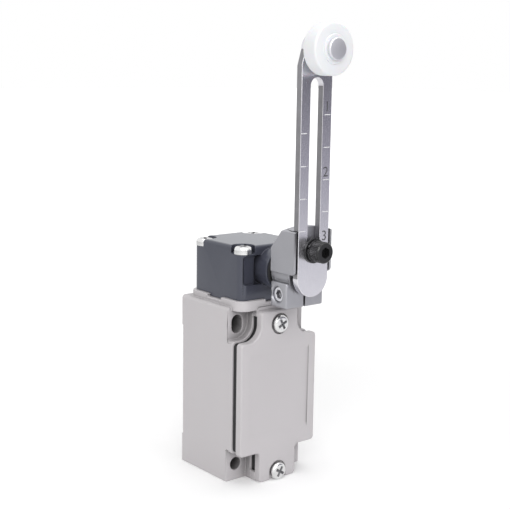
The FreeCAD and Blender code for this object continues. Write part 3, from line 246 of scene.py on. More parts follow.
class RollerSizes(bpy.types.PropertyGroup):
    """Sizes of the roller and its pin."""
    edge: size("Edge", "Rounding of the tread edges", 0.0009)
    boss: size("Boss", "Raised middle", 0.0056)
    boss_rise: size("Boss rise", "How far the middle stands out", 0.0005)
    bore: size("Bore", "Radius of the bore", 0.00305)
    pin: size("Pin", "Radius of the pin", 0.003)
    pin_head: size("Pin head", "Radius of the riveted head", 0.00425)
    pin_head_thick: size("Head height", "Riveted head", 0.0013)
    collar: size("Collar", "Radius of the collar behind the roller", 0.0046)


class Finishes(bpy.types.PropertyGroup):
    """Colours of the finishes."""
    grey_paint: colour("Grey paint", "Case and cover", (0.585, 0.56, 0.573))
    blue_grey_paint: colour("Blue-grey paint", "Head", (0.046, 0.048, 0.066))
    rubber: colour("Rubber", "Seals", (0.012, 0.012, 0.013))
    casting: colour("Casting", "Lever hub", (0.44, 0.44, 0.47))
    polished: colour("Polished strip", "Lever arm", (0.78, 0.77, 0.81))
    plated: colour("Plated", "Screws", (0.86, 0.86, 0.86))
    oxide: colour("Black oxide", "Arm bolt and washers", (0.008, 0.008, 0.009))
    turned: colour("Turned steel", "Pins and shaft", (0.80, 0.80, 0.84))
    nylon: colour("Nylon", "Roller", (0.86, 0.87, 0.89))
    etched: colour("Etched", "Scale numbers", (0.10, 0.10, 0.11))


class StageSettings(bpy.types.PropertyGroup):
    """Camera and lights."""
    azimuth: FloatProperty(name="Azimuth", description="Camera direction", default=-38.85)
    elevation: FloatProperty(name="Elevation", description="Camera height angle", default=10.07)
    roll: FloatProperty(name="Roll", description="Camera roll", default=0.83)
    lens: FloatProperty(name="Lens", description="Focal length in millimetres", default=75.4, min=10.0)
    camera: FloatVectorProperty(name="Camera", description="Camera position", size=3, subtype="TRANSLATION",
                                default=(-0.27659, -0.36801, 0.13438))
    world: FloatProperty(name="World", description="Strength of the surrounding light", default=0.52, min=0.0)
    key: FloatProperty(name="Key", description="Power of the main light in watts", default=6.0, min=0.0)
    fill: FloatProperty(name="Fill", description="Power of the front light in watts", default=2.5, min=0.0)
    top: FloatProperty(name="Top", description="Power of the overhead light in watts", default=5.0, min=0.0)


GROUPS = {
    "limit_case": CaseSizes,
    "limit_cover": CoverSizes,
    "limit_head": HeadSizes,
    "limit_screw": ScrewSizes,
    "limit_lever": LeverSizes,
    "limit_roller": RollerSizes,
    "limit_finish": Finishes,
    "limit_stage": StageSettings,
}


# ---------------------------------------------------------------- modelling helpers

def mode(name):
    """Switches to object mode or edit mode."""
    bpy.ops.object.mode_set(mode=name)


def deselect():
    """Back to object mode with nothing selected."""
    if bpy.context.object and bpy.context.object.mode != "OBJECT":
        mode("OBJECT")
    bpy.ops.object.select_all(action="DESELECT")


def focus(piece):
    """Selects one piece and makes it active."""
    deselect()
    piece.select_set(True)
    bpy.context.view_layer.objects.active = piece


def settle(name):
    """Names the new primitive and moves its place, turn and scale into its mesh."""
    piece = bpy.context.object
    piece.name = name
    bpy.ops.object.transform_apply(location=True, rotation=True, scale=True)
    return piece


def add_block(name, low, high):
    """A box between two corners."""
    deselect()
    centre = [(a + b) / 2 for a, b in zip(low, high)]
    bpy.ops.mesh.primitive_cube_add(size=1, location=centre)
    bpy.context.object.scale = [b - a for a, b in zip(low, high)]
    return settle(name)


def add_rod(name, axis, centre, low, high, radius, top=None, sides=64):
    """A cylinder, or a cone if top is given, along an axis from low to high."""
    deselect()
    place = [0.0, 0.0, 0.0]
    along, first, second = AXES[axis]
    place[along], place[first], place[second] = (low + high) / 2, centre[0], centre[1]
    turn = {"x": (0, math.pi / 2, 0), "y": (-math.pi / 2, 0, 0), "z": (0, 0, 0)}[axis]
    bpy.ops.mesh.primitive_cone_add(vertices=sides, radius1=radius, radius2=radius if top is None else top,
                                    depth=high - low, location=place, rotation=turn)
    return settle(name)


def combine(piece, tool, operation):
    """One Boolean modifier, applied; the tool is used up."""
    focus(piece)
    step = piece.modifiers.new("Combine", "BOOLEAN")
    step.operation = operation
    step.object = tool
    step.solver = "EXACT"
    bpy.ops.object.modifier_apply(modifier=step.name)
    bpy.data.objects.remove(tool, do_unlink=True)


def carve(piece, *tools):
    """Cuts the tools out of a piece."""
    for tool in tools:
        combine(piece, tool, "DIFFERENCE")
    return piece


def grow(piece, *tools):
    """Adds the tools to a piece."""
    for tool in tools:
        combine(piece, tool, "UNION")
    return piece


def pick(piece, kind, parts, wanted):
    """Selects the edges or points that wanted() takes and leaves the piece in edit mode."""
    focus(piece)
    mode("EDIT")
    bpy.ops.mesh.select_mode(type=kind)
    bpy.ops.mesh.select_all(action="DESELECT")
    mode("OBJECT")
    for part in parts:
        part.select = wanted(part)
    mode("EDIT")


def round_edges(piece, radius, wanted, segments=8):
    """Rounds the edges that wanted() takes by their two end points."""
    points = piece.data.vertices
    pick(piece, "EDGE", piece.data.edges, lambda edge: wanted(*(points[i].co for i in edge.vertices)))
    bpy.ops.mesh.bevel(offset=radius, segments=segments, affect="EDGES", clamp_overlap=False)
    mode("OBJECT")
    return piece


def shift(piece, step, wanted):
    """Moves the points that wanted() takes."""
    pick(piece, "VERT", piece.data.vertices, lambda point: wanted(point.co))
    bpy.ops.transform.translate(value=step)
    mode("OBJECT")
    return piece


def squeeze(piece, factors, centre, wanted):
    """Scales the points that wanted() takes towards a centre."""
    pick(piece, "VERT", piece.data.vertices, lambda point: wanted(point.co))
    bpy.ops.transform.resize(value=factors, center_override=centre)
    mode("OBJECT")
    return piece


def same(a, b):
    """Whether two lengths agree to a hundredth of a millimetre."""
    return abs(a - b) < 1e-5


def level(axis, value):
    """A test that takes the edges lying at one value of an axis."""
    return lambda p, q: same(getattr(p, axis), value) and same(getattr(q, axis), value)


def crosswise(p, q):
    """Whether an edge runs along Y."""
    return same(p.x, q.x) and same(p.z, q.z)


def upright(p, q):
    """Whether an edge runs along Z."""
    return same(p.x, q.x) and same(p.y, q.y)


def tidy(piece):
    """Merges doubles and joins faces that lie in one plane."""
    focus(piece)
    mode("EDIT")
    bpy.ops.mesh.select_mode(type="VERT")
    bpy.ops.mesh.select_all(action="SELECT")
    bpy.ops.mesh.remove_doubles(threshold=2e-6)
    bpy.ops.mesh.dissolve_limited(angle_limit=math.radians(0.5))
    mode("OBJECT")
    return piece


def facet(piece):
    """Cleans a piece and keeps its edges sharp, with smooth round sides."""
    tidy(piece)
    bpy.ops.object.shade_smooth_by_angle(angle=math.radians(30))


def soften(piece, width, segments=3, limit=35):
    """Rounds every remaining sharp edge and gives the faces even normals."""
    tidy(piece)
    bpy.ops.object.shade_smooth()
    edge = piece.modifiers.new("Edge", "BEVEL")
    edge.width = width
    edge.segments = segments
    edge.limit_method = "ANGLE"
    edge.angle_limit = math.radians(limit)
    edge.use_clamp_overlap = False
    edge.harden_normals = True
    bpy.ops.object.modifier_apply(modifier=edge.name)
    return piece


def join(name, pieces):
    """One piece made of several that keep their own shells."""
    focus(pieces[0])
    for piece in pieces:
        piece.select_set(True)
    if len(pieces) > 1:
        bpy.ops.object.join()
    pieces[0].name = name
    return pieces[0]


def copies(name, piece, spots, first, step):
    """One copy of a piece at each spot, each turned further than the last; the piece itself is used up."""
    twins = []
    for number, spot in enumerate(spots):
        twin = piece.copy()
        twin.data = piece.data.copy()
        bpy.context.collection.objects.link(twin)
        twin.data.transform(spot @ Matrix.Rotation(math.radians(first + step * number), 4, "Z"))
        twins.append(twin)
    bpy.data.objects.remove(piece, do_unlink=True)
    return join(name, twins)


def deliver(piece, body, material, slot, *nodes):
    """Gives a finished piece its material and its body, and hides the CAD nodes that it stands for."""
    if material.name not in piece.data.materials:
        piece.data.materials.clear()
        piece.data.materials.append(material)
    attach(piece, body)
    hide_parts(*nodes)
    return piece


# ---------------------------------------------------------------- materials

def wire(tree, nodes, plan, links):
    """Adds the planned nodes to a tree and joins sockets; each link reads "node.output > node.input"."""
    for name, (kind, settings, values) in plan.items():
        node = nodes[name] = tree.nodes.new("ShaderNode" + kind)
        for label, value in settings.items():
            setattr(node, label, value)
        for label, value in values.items():
            node.inputs[label].default_value = value
    for link in links:
        (start, leaving), (end, entering) = (side.split(".") for side in link.split(" > "))
        entering = int(entering) if entering.isdigit() else entering
        tree.links.new(nodes[start].outputs[leaving], nodes[end].inputs[entering])


def surface_group():
    """Mottled colour, uneven roughness and a fine raised grain, read from Object coordinates, with painted
    shade that darkens the colour in hollows.
    """
    if "Surface" in bpy.data.node_groups:
        return bpy.data.node_groups["Surface"]
    group = bpy.data.node_groups.new("Surface", "ShaderNodeTree")
    for label, kind, value in (
            ("Colour", "Color", (0.5, 0.5, 0.5, 1)), ("Second colour", "Color", (0.5, 0.5, 0.5, 1)),
            ("Patch scale", "Float", 60.0), ("Grain scale", "Float", 2500.0), ("Roughness", "Float", 0.4),
            ("Roughness spread", "Float", 0.1), ("Grain height", "Float", 0.1),
            ("Stretch", "Vector", (1, 1, 1)), ("Grime", "Float", 0.5), ("Grime reach", "Float", 0.01)):
        socket = group.interface.new_socket(name=label, in_out="INPUT", socket_type="NodeSocket" + kind)
        socket.default_value = value
    for label, kind in (("Colour", "Color"), ("Roughness", "Float"), ("Normal", "Vector")):
        group.interface.new_socket(name=label, in_out="OUTPUT", socket_type="NodeSocket" + kind)
    given, result = group.nodes.new("NodeGroupInput"), group.nodes.new("NodeGroupOutput")
    wire(group, {"given": given, "result": result}, {
        "place": ("TexCoord", {}, {}),
        "stretched": ("VectorMath", {"operation": "MULTIPLY"}, {}),
        "patches": ("TexNoise", {}, {"Detail": 4.0}),
        "grain": ("TexNoise", {}, {"Detail": 3.0, "Roughness": 0.6}),
        "blend": ("Mix", {"data_type": "RGBA"}, {}),
        # Painted shade: ambient occlusion darkens the colour in hollows, creases and between parts, towards a
        # near-black.
        "corners": ("AmbientOcclusion", {"samples": 6, "only_local": True}, {}),
        "open": ("Math", {"operation": "POWER"}, {1: 1.3}),
        "hidden": ("Math", {"operation": "SUBTRACT"}, {0: 1.0}),
        "grime": ("MapRange", {}, {"To Min": 0.0}),
        "darker": ("Mix", {"data_type": "RGBA"}, {"B": (0.02, 0.019, 0.018, 1)}),
        "centred": ("Math", {"operation": "SUBTRACT"}, {1: 0.5}),
        "spread": ("Math", {"operation": "MULTIPLY_ADD"}, {}),
        "raised": ("Bump", {}, {"Distance": 0.0001}),
    }, ("place.Object > stretched.0", "given.Stretch > stretched.1", "place.Object > patches.Vector",
        "given.Patch scale > patches.Scale", "stretched.Vector > grain.Vector",
        "given.Grain scale > grain.Scale",
        "patches.Fac > blend.Factor", "given.Colour > blend.A", "given.Second colour > blend.B",
        "given.Grime reach > corners.Distance", "corners.AO > open.0", "open.Value > hidden.1",
        "hidden.Value > grime.Value", "given.Grime > grime.To Max", "grime.Result > darker.Factor",
        "blend.Result > darker.A", "darker.Result > result.Colour", "grain.Fac > centred.0",
        "centred.Value > spread.0", "given.Roughness spread > spread.1", "given.Roughness > spread.2",
        "spread.Value > result.Roughness", "given.Grain height > raised.Strength",
        "grain.Fac > raised.Height",
        "raised.Normal > result.Normal"))
    return group


def finish(name, base, second, metallic, roughness, spread, patch=60, grain=2500, height=0.1,
           stretch=(1, 1, 1), grime=0.5, reach=0.004, **sockets):
    """A procedural material: the Surface group feeding a Principled shader, other sockets set as given. Its
    painted shade darkens the colour in hollows by a share, out to a given reach.
    """
    if name in bpy.data.materials:
        return bpy.data.materials[name]
    material = bpy.data.materials.new(name)
    material.use_nodes = True
    nodes, links = material.node_tree.nodes, material.node_tree.links
    shader = nodes["Principled BSDF"]
    surface = nodes.new("ShaderNodeGroup")
    surface.node_tree = surface_group()
    for label, value in (("Colour", (*base, 1)), ("Second colour", (*second, 1)), ("Patch scale", patch),
                         ("Grain scale", grain), ("Roughness", roughness), ("Roughness spread", spread),
                         ("Grain height", height), ("Stretch", stretch), ("Grime", grime),
                         ("Grime reach", reach)):
        surface.inputs[label].default_value = value
    links.new(surface.outputs["Colour"], shader.inputs["Base Color"])
    links.new(surface.outputs["Roughness"], shader.inputs["Roughness"])
    links.new(surface.outputs["Normal"], shader.inputs["Normal"])
    shader.inputs["Metallic"].default_value = metallic
    for label, value in sockets.items():
        shader.inputs[label.replace("_", " ")].default_value = value
    return material


def shade(base, factor):
    """A colour made lighter or darker."""
    return tuple(min(1.0, c * factor) for c in base)


def tinted(name, colour_name, first, second, *values, **more):
    """A finish in one of the colours that a user can change, made lighter or darker by two factors."""
    base = getattr(bpy.context.scene.limit_finish, colour_name)
    return finish(name, shade(base, first), shade(base, second), *values, **more)


def paint_on_case():
    """Warm grey satin paint with the fine orange peel of a sprayed casting, and strong painted shade in its
    hollows.
    """
    return tinted("Grey paint", "grey_paint", 1, 0.97, 0.0, 0.42, 0.12, patch=45, grain=2200, height=0.22,
                  grime=0.85, reach=0.009, Specular_IOR_Level=0.45, Coat_Weight=0.08, Coat_Roughness=0.3)


def paint_on_head():
    """Dark blue-grey satin paint."""
    return tinted("Blue-grey paint", "blue_grey_paint", 1, 1.12, 0.0, 0.3, 0.12, patch=70, grain=2600,
                  height=0.12, Specular_IOR_Level=0.55, Specular_Tint=(0.88, 0.92, 1.0, 1.0),
                  Coat_Weight=0.45, Coat_Roughness=0.2, Coat_Tint=(0.94, 0.96, 1.0, 1.0))


def rubber():
    """Matt black rubber."""
    return tinted("Rubber", "rubber", 1, 1.5, 0.0, 0.7, 0.15, patch=300, grain=4000, height=0.3)


def casting():
    """Satin tumbled casting."""
    return tinted("Casting", "casting", 1, 0.9, 1.0, 0.42, 0.18, patch=140, grain=5200, height=0.35)


def polished_strip():
    """Stainless strip with faint lengthwise rolling lines."""
    return tinted("Polished strip", "polished", 1, 0.94, 1.0, 0.26, 0.10, patch=90, grain=6000, height=0.05,
                  stretch=(1.0, 1.0, 0.04), grime=0.0)


def sheared_edge():
    """The duller sheared sides of the strip, their colour darkened further as painted shade."""
    return tinted("Sheared edge", "polished", 0.42, 0.3, 1.0, 0.42, 0.2, patch=260, grain=4200, height=0.2,
                  stretch=(1.0, 0.15, 1.0))


def plated():
    """Bright zinc plate."""
    return tinted("Bright plate", "plated", 1, 0.9, 1.0, 0.2, 0.12, patch=500, grain=4500, height=0.08,
                  grime=0.35, reach=0.0010)


def worn_recess():
    """A flat, duller grey painted inside a driver recess in place of the plate's reflection."""
    return finish("Worn recess", (0.42, 0.42, 0.44), (0.34, 0.34, 0.36), 0.0, 0.5, 0.1, patch=900, grain=5000,
                  height=0.1, grime=0.3, reach=0.0012)


def black_oxide():
    """Oiled black oxide on steel."""
    return tinted("Black oxide", "oxide", 1, 1.8, 0.0, 0.26, 0.15, patch=350, grain=5000, height=0.1,
                  Specular_IOR_Level=0.5)


def turned_steel():
    """Turned steel with rings too fine to see singly."""
    return tinted("Turned steel", "turned", 1, 0.9, 1.0, 0.45, 0.15, patch=400, grain=7000, height=0.1,
                  grime=0.25, reach=0.0012)


def socket_steel():
    """Turned steel with a socket darkened by strong painted shade."""
    return tinted("Socket steel", "turned", 1, 0.9, 1.0, 0.38, 0.15, patch=400, grain=7000, height=0.1,
                  grime=0.97, reach=0.0026)


def nylon():
    """White nylon, slightly see-through at its edges."""
    return tinted("White nylon", "nylon", 1, 0.985, 0.0, 0.38, 0.1, patch=120, grain=1800, height=0.08,
                  grime=0.2, Subsurface_Weight=0.15, Subsurface_Scale=0.001)


def moulding(name, base, roughness=0.45):
    """A moulded plastic."""
    return finish(name, base, shade(base, 1.2), 0.0, roughness, 0.12, patch=200, grain=3000, height=0.12)


def metal(name, base, roughness=0.3):
    """A plain inner metal part."""
    return finish(name, base, shade(base, 0.88), 1.0, roughness, 0.15, patch=250, grain=5000, height=0.12)


# ---------------------------------------------------------------- pieces

def cross_plate(name, inset, low_z, high_z, back, front):
    """A plate in the cover's cross shape: hollow upper notches, squarer lower ones."""
    given = bpy.context.scene.limit_case
    half = CASE[1].x - inset
    tab = given.tab_width / 2 - inset
    high, low = given.wing_high - inset, -given.wing_low + inset
    plate = add_block(name, (-half, front, low_z), (half, back, high_z))
    tools = []
    for side in (-1, 1):
        outer = side * (half + PAST)
        inner = side * tab
        left, right = min(inner, outer), max(inner, outer)
        top = add_block("notch", (left, front - PAST, high), (right, back + PAST, high_z + PAST))
        round_edges(top, given.notch_round,
                    lambda p, q: crosswise(p, q) and same(p.x, inner) and same(p.z, high), segments=16)
        foot = add_block("notch", (left, front - PAST, low_z - PAST), (right, back + PAST, low))
        round_edges(foot, given.corner_round,
                    lambda p, q: crosswise(p, q) and same(p.x, inner) and same(p.z, low))
        tools += [top, foot]
    carve(plate, *tools)
    tidy(plate)
    round_edges(plate, given.corner_round,
                lambda p, q: crosswise(p, q) and same(abs(p.x), half) and (same(p.z, high) or same(p.z, low)))
    return plate


def on_four_sides(name, inner, outer, half, low, high):
    """Four blocks round the head's axis, from inner to outer, each two times half wide."""
    blocks = []
    for x0, x1, y0, y1 in ((-outer, -inner, -half, half), (inner, outer, -half, half),
                           (-half, half, -outer, -inner), (-half, half, inner, outer)):
        blocks.append(add_block(name, (x0, HEAD_AXIS_Y + y0, low), (x1, HEAD_AXIS_Y + y1, high)))
    return blocks


class LIMITSWITCH_OT_case(bpy.types.Operator):
    """Model the die-cast case"""
    bl_idname = "limitswitch.case"
    bl_label = "Case"

    def execute(self, context):
        given = context.scene.limit_case
        low, high = CASE
        piece = add_block("case_shell", (low.x, -given.lug_depth, low.z), (high.x, 0, given.case_top))
        round_edges(piece, given.shoulder, lambda p, q: same(p.x, q.x) and same(p.z, given.case_top)
                    and same(q.z, given.case_top), segments=6)
        round_edges(piece, given.lug_round, lambda p, q: upright(p, q) and same(p.y, -given.lug_depth),
                    segments=4)
        rim = cross_plate("rim", 0.0, low.z, given.case_top, -given.lug_depth + given.lug_round * RIM_START,
                          -given.rim_depth)
        half = given.platform / 2
        platform = add_block("platform", (-half, HEAD_AXIS_Y - half, given.platform_foot),
                             (half, HEAD_AXIS_Y + half, high.z))
        round_edges(platform, given.platform_round, upright, segments=10)
        tab = given.tab_width / 2
        lip_front = COVER[1].y + LIP_GAP
        lips = [add_block("lip", (-tab, lip_front, z), (tab, -given.rim_depth, z + given.lip))
                for z in (low.z, given.case_top - given.lip)]
        for lip in lips:
            round_edges(lip, given.lip_round, lambda p, q: crosswise(p, q) and same(p.z, given.case_top))
        grow(piece, rim, platform, *lips)
        carve(piece, *self.rooms(given), *self.holes(given), *self.notches(given))
        soften(piece, given.edge, segments=3)
        for side in (low.x, high.x):
            squeeze(piece, (0, 1, 1), (side, 0, 0), lambda p: p.x * math.copysign(1, side) > high.x)
        deliver(piece, "housing", paint_on_case(), "grey_paint", "case")
        return {"FINISHED"}

    def rooms(self, given):
        """The wiring chamber, the rooms above and below it, the plunger bore and the cable entry."""
        low, high = CASE
        back = -given.pad_rise - given.wall
        inside = high.x - given.wall
        bottom = low.z + given.conduit_length
        half, radius, entry = given.chamber_half, given.conduit_radius, (0, -given.conduit_depth)
        rooms = [
            add_block("chamber", (-inside, -CHAMBER_FRONT, -half), (inside, back, half)),
            add_block("upper", (-UPPER_HALF, -ROOM_FRONT, half - MEET), (UPPER_HALF, back, UPPER_TOP)),
            add_block("lower", (-radius, -ROOM_FRONT, bottom), (radius, entry[1] + radius, -half + MEET)),
            add_rod("entry", "z", entry, low.z - PAST, bottom + MEET, radius, sides=96),
            add_rod("plunger", "z", (0, HEAD_AXIS_Y), PLUNGER_FOOT, high.z + PAST, PLUNGER_BORE, sides=48),
            add_rod("spring", "z", (0, HEAD_AXIS_Y), SPRING_SEAT, high.z + PAST, SPRING_BORE, sides=48),
            add_block("back", (-FAR, -given.pad_rise, -given.pad_low_top), (FAR, PAST, given.pad_high_foot)),
        ]
        for turn in range(int(given.conduit_length / given.thread_pitch)):
            z = low.z + (turn + THREAD_START) * given.thread_pitch
            rooms.append(add_rod("thread", "z", entry, z - THREAD_HALF, z + THREAD_HALF,
                                 radius + THREAD_DEPTH, sides=96))
        return rooms

    def holes(self, given):
        """Round lower mounting holes, upright upper slots, and the cover screws' holes."""
        radius, height = given.hole_radius, given.hole_half_z
        rise = given.slot_travel / 2
        holes = []
        for x in (-given.hole_half_x, given.hole_half_x):
            holes.append(add_rod("hole", "y", (x, -height), -FAR, PAST, radius, sides=48))
            slot = add_block("slot", (x - radius, -FAR, height - rise - radius),
                             (x + radius, PAST, height + rise + radius))
            round_edges(slot, radius * NEARLY, crosswise, segments=12)
            holes.append(slot)
        cover = bpy.context.scene.limit_cover
        for z in (cover.screw_high, -cover.screw_low):
            holes.append(add_rod("tapping", "y", (0, z), -FAR, -TAPPING_END, TAPPING_BORE, sides=32))
        return holes

    def notches(self, given):
        """The notches under the head that key it at each quarter turn."""
        top = CASE[1].z
        inner = HEAD_HALF - given.key_reach - given.key_gap
        return on_four_sides("notch", inner, given.platform / 2 + PAST, given.key_width / 2,
                             top - given.key_drop, top + PAST)


class LIMITSWITCH_OT_cover(bpy.types.Operator):
    """Model the cross-shaped front cover"""
    bl_idname = "limitswitch.cover"
    bl_label = "Cover"

    def execute(self, context):
        given = context.scene.limit_cover
        low, high = COVER
        piece = cross_plate("cover_plate", 0.0, low.z, high.z, high.y, low.y)
        tab = context.scene.limit_case.tab_width / 2
        round_edges(piece, context.scene.limit_case.corner_round, lambda p, q: crosswise(p, q)
                    and same(abs(p.x), tab) and (same(p.z, low.z) or same(p.z, high.z)))
        round_edges(piece, given.edge, level("y", low.y), segments=5)
        field = self.field(given, low.y)
        seats = []
        for z in (given.screw_high, -given.screw_low):
            seats.append(add_rod("seat", "y", (0, z), low.y - PAST, low.y + given.seat_depth,
                                 given.seat_radius, sides=72))
            seats.append(add_rod("hole", "y", (0, z), low.y - PAST, high.y + PAST, COVER_BORE, sides=32))
        seats.append(add_block("open_seat", (-given.seat_radius, low.y - PAST, low.z - PAST),
                               (given.seat_radius, low.y + given.seat_depth, -given.screw_low)))
        carve(piece, field, *seats)
        soften(piece, 0.00018, segments=2, limit=25)
        deliver(piece, "housing", paint_on_case(), "grey_paint", "cover")
        return {"FINISHED"}

    def field(self, given, front):
        """The cutter for the plate field: steep on the right, sloping gently on its other sides."""
        half, slope, sink = given.field_width / 2, given.field_slope, given.field_sink
        cutter = add_block("field", (-half, front - sink, -given.field_low),
                           (half, front + sink, given.field_high))
        for inward, inner in ((slope, True), (-slope, False)):
            shift(cutter, (0, 0, inward), lambda p: (p.y > front) == inner and p.z < 0)
            shift(cutter, (0, 0, -inward), lambda p: (p.y > front) == inner and p.z > 0)
            shift(cutter, (inward, 0, 0), lambda p: (p.y > front) == inner and p.x < 0)
        return cutter


class LIMITSWITCH_OT_seals(bpy.types.Operator):
    """Model the cover gasket and the shaft seal"""
    bl_idname = "limitswitch.seals"
    bl_label = "Seals"

    def execute(self, context):
        low, high = GASKET
        case = context.scene.limit_case
        ring = cross_plate("gasket_ring", GASKET_INSET, low.z, high.z, high.y, low.y)
        inside = CASE[1].x - case.wall
        window = add_block("window", (-inside, low.y - PAST, -case.chamber_half),
                           (inside, high.y + PAST, case.chamber_half))
        cover = context.scene.limit_cover
        holes = [add_rod("hole", "y", (0, z), low.y - PAST, high.y + PAST, GASKET_BORE, sides=32)
                 for z in (cover.screw_high, -cover.screw_low)]
        carve(ring, window, *holes)
        soften(ring, 0.0002, segments=2)
        deliver(ring, "housing", rubber(), "black_rubber", "cover_gasket")
        low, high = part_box("shaft_seal")
        radius = (high.x - low.x) / 2
        seal = add_rod("shaft_seal_ring", "y", SHAFT_AXIS, low.y, high.y, radius)
        carve(seal, add_rod("hole", "y", SHAFT_AXIS, low.y - PAST, high.y + PAST, SEAL_BORE),
              add_rod("groove", "y", SHAFT_AXIS, low.y - PAST, low.y + SEAL_GROOVE,
                      radius * SEAL_GROOVE_SHARE))
        soften(seal, 0.00015, segments=2)
        deliver(seal, "housing", rubber(), "black_rubber", "shaft_seal")
        return {"FINISHED"}


class LIMITSWITCH_OT_head(bpy.types.Operator):
    """Model the rotary head"""
    bl_idname = "limitswitch.head"
    bl_label = "Head"

    def execute(self, context):
        given = context.scene.limit_head
        low, high = HEAD
        half, foot = HEAD_HALF, HEAD_FOOT
        front, back = HEAD_AXIS_Y - half, HEAD_AXIS_Y + half
        piece = add_block("head_shell", (-half, front, foot), (half, back, high.z))
        round_edges(piece, given.corner, upright, segments=8)
        round_edges(piece, given.bevel, level("z", high.z), segments=4)
        recess = add_block("recess", (-given.recess_outer, front - PAST, foot + given.band),
                           (given.recess_outer, front + given.step_sink, foot + given.recess_top))
        round_edges(recess, HOLLOW_ROUND, crosswise, segments=6)
        deep = add_block("deep", (-given.step_inner, front - PAST, foot + given.band),
                         (given.step_inner, front + given.recess_sink, foot + given.recess_top))
        squeeze(deep, (1 - HOLLOW_TAPER, 1, 1), (0, 0, 0), lambda p: p.y > front)
        squeeze(deep, (1 + HOLLOW_TAPER, 1, 1), (0, 0, 0), lambda p: p.y < front)
        carve(piece, recess, deep)
        case = context.scene.limit_case
        keys = on_four_sides("key", half - case.key_reach, half, case.key_width / 2 - case.key_gap,
                             foot - case.key_drop + case.key_gap, foot + KEY_OVERLAP)
        boss = add_rod("boss", "y", SHAFT_AXIS, low.y, front + BOSS_OVERLAP, given.boss_radius, sides=96)
        grow(piece, boss, *keys)
        room = given.room_half
        tools = [
            add_block("room", (-room, HEAD_AXIS_Y - ROOM_HALF_DEPTH, low.z - PAST),
                      (room, HEAD_AXIS_Y + ROOM_HALF_DEPTH, high.z - given.top_wall)),
            add_rod("bearing", "y", SHAFT_AXIS, low.y - PAST, HEAD_AXIS_Y, FRONT_BEARING),
            add_rod("rear_bearing", "y", SHAFT_AXIS, HEAD_AXIS_Y, -REAR_BEARING_END, REAR_BEARING),
        ]
        for x in (-given.screw_offset, given.screw_offset):
            for y in (HEAD_AXIS_Y - given.screw_offset, HEAD_AXIS_Y + given.screw_offset):
                tools.append(add_rod("pocket", "z", (x, y), high.z - given.pocket_sink, high.z + PAST,
                                     given.pocket_radius, sides=72))
                tools.append(add_rod("hole", "z", (x, y), low.z - PAST, high.z, HEAD_SCREW_BORE, sides=32))
        carve(piece, *tools)
        soften(piece, given.edge, segments=3)
        deliver(piece, "housing", paint_on_head(), "blue_grey_paint", "head_housing")
        return {"FINISHED"}


def pan_screw(name, reach):
    """A cross-recessed pan-head screw, standing on its seat at the origin and pointing up."""
    given = bpy.context.scene.limit_screw
    thick = given.head_thick
    screw = add_rod(name, "z", (0, 0), 0, thick, given.head_radius, sides=64)
    round_edges(screw, given.head_round, level("z", thick), segments=6)
    grow(screw, add_rod("shank", "z", (0, 0), -reach, SINK, given.shank_radius, sides=40))
    long, short = given.recess_reach, given.recess_width / 2
    arms = [add_block("arm", (-x, -y, thick - given.recess_depth), (x, y, thick + 0.001))
            for x, y in ((long, short), (short, long))]
    centre = add_rod("centre", "z", (0, 0), thick - given.recess_depth * 1.4, thick + 0.0004,
                     given.recess_width * 0.35, top=given.recess_width * 0.8, sides=24)
    carve(screw, *arms, centre)
    facet(screw)
    screw.data.materials.clear()
    screw.data.materials.append(plated())
    screw.data.materials.append(worn_recess())
    # The faces inside the driver recess get the flat grey painted in place of the plate's reflection.
    for face in screw.data.polygons:
        inside = math.hypot(face.center.x, face.center.y) < given.recess_reach
        if inside and given.recess_depth * 0.1 < thick - face.center.z < given.recess_depth * 1.6:
            face.material_index = 1
    return screw


class LIMITSWITCH_OT_screws(bpy.types.Operator):
    """Model the cover screws and the head screws"""
    bl_idname = "limitswitch.screws"
    bl_label = "Screws"

    def execute(self, context):
        cover, head = context.scene.limit_cover, context.scene.limit_head
        seat_y = COVER[0].y + cover.seat_depth
        screw = pan_screw("cover_screw_set", COVER_SCREW_REACH)
        spots = [Matrix.Translation((0, seat_y, z)) @ Matrix.Rotation(math.pi / 2, 4, "X")
                 for z in (cover.screw_high, -cover.screw_low)]
        screws = copies("cover_screw_set", screw, spots, *COVER_TURNS)
        deliver(screws, "housing", plated(), "bright_plate", "cover_screws")
        screw = pan_screw("head_screw_set", HEAD_SCREW_REACH)
        seat_z = HEAD[1].z - head.pocket_sink
        spots = [Matrix.Translation((a * head.screw_offset, HEAD_AXIS_Y + b * head.screw_offset, seat_z))
                 for a, b in ((-1, -1), (-1, 1), (1, -1), (1, 1))]
        screws = copies("head_screw_set", screw, spots, *HEAD_TURNS)
        deliver(screws, "housing", plated(), "bright_plate", "head_screws")
        return {"FINISHED"}


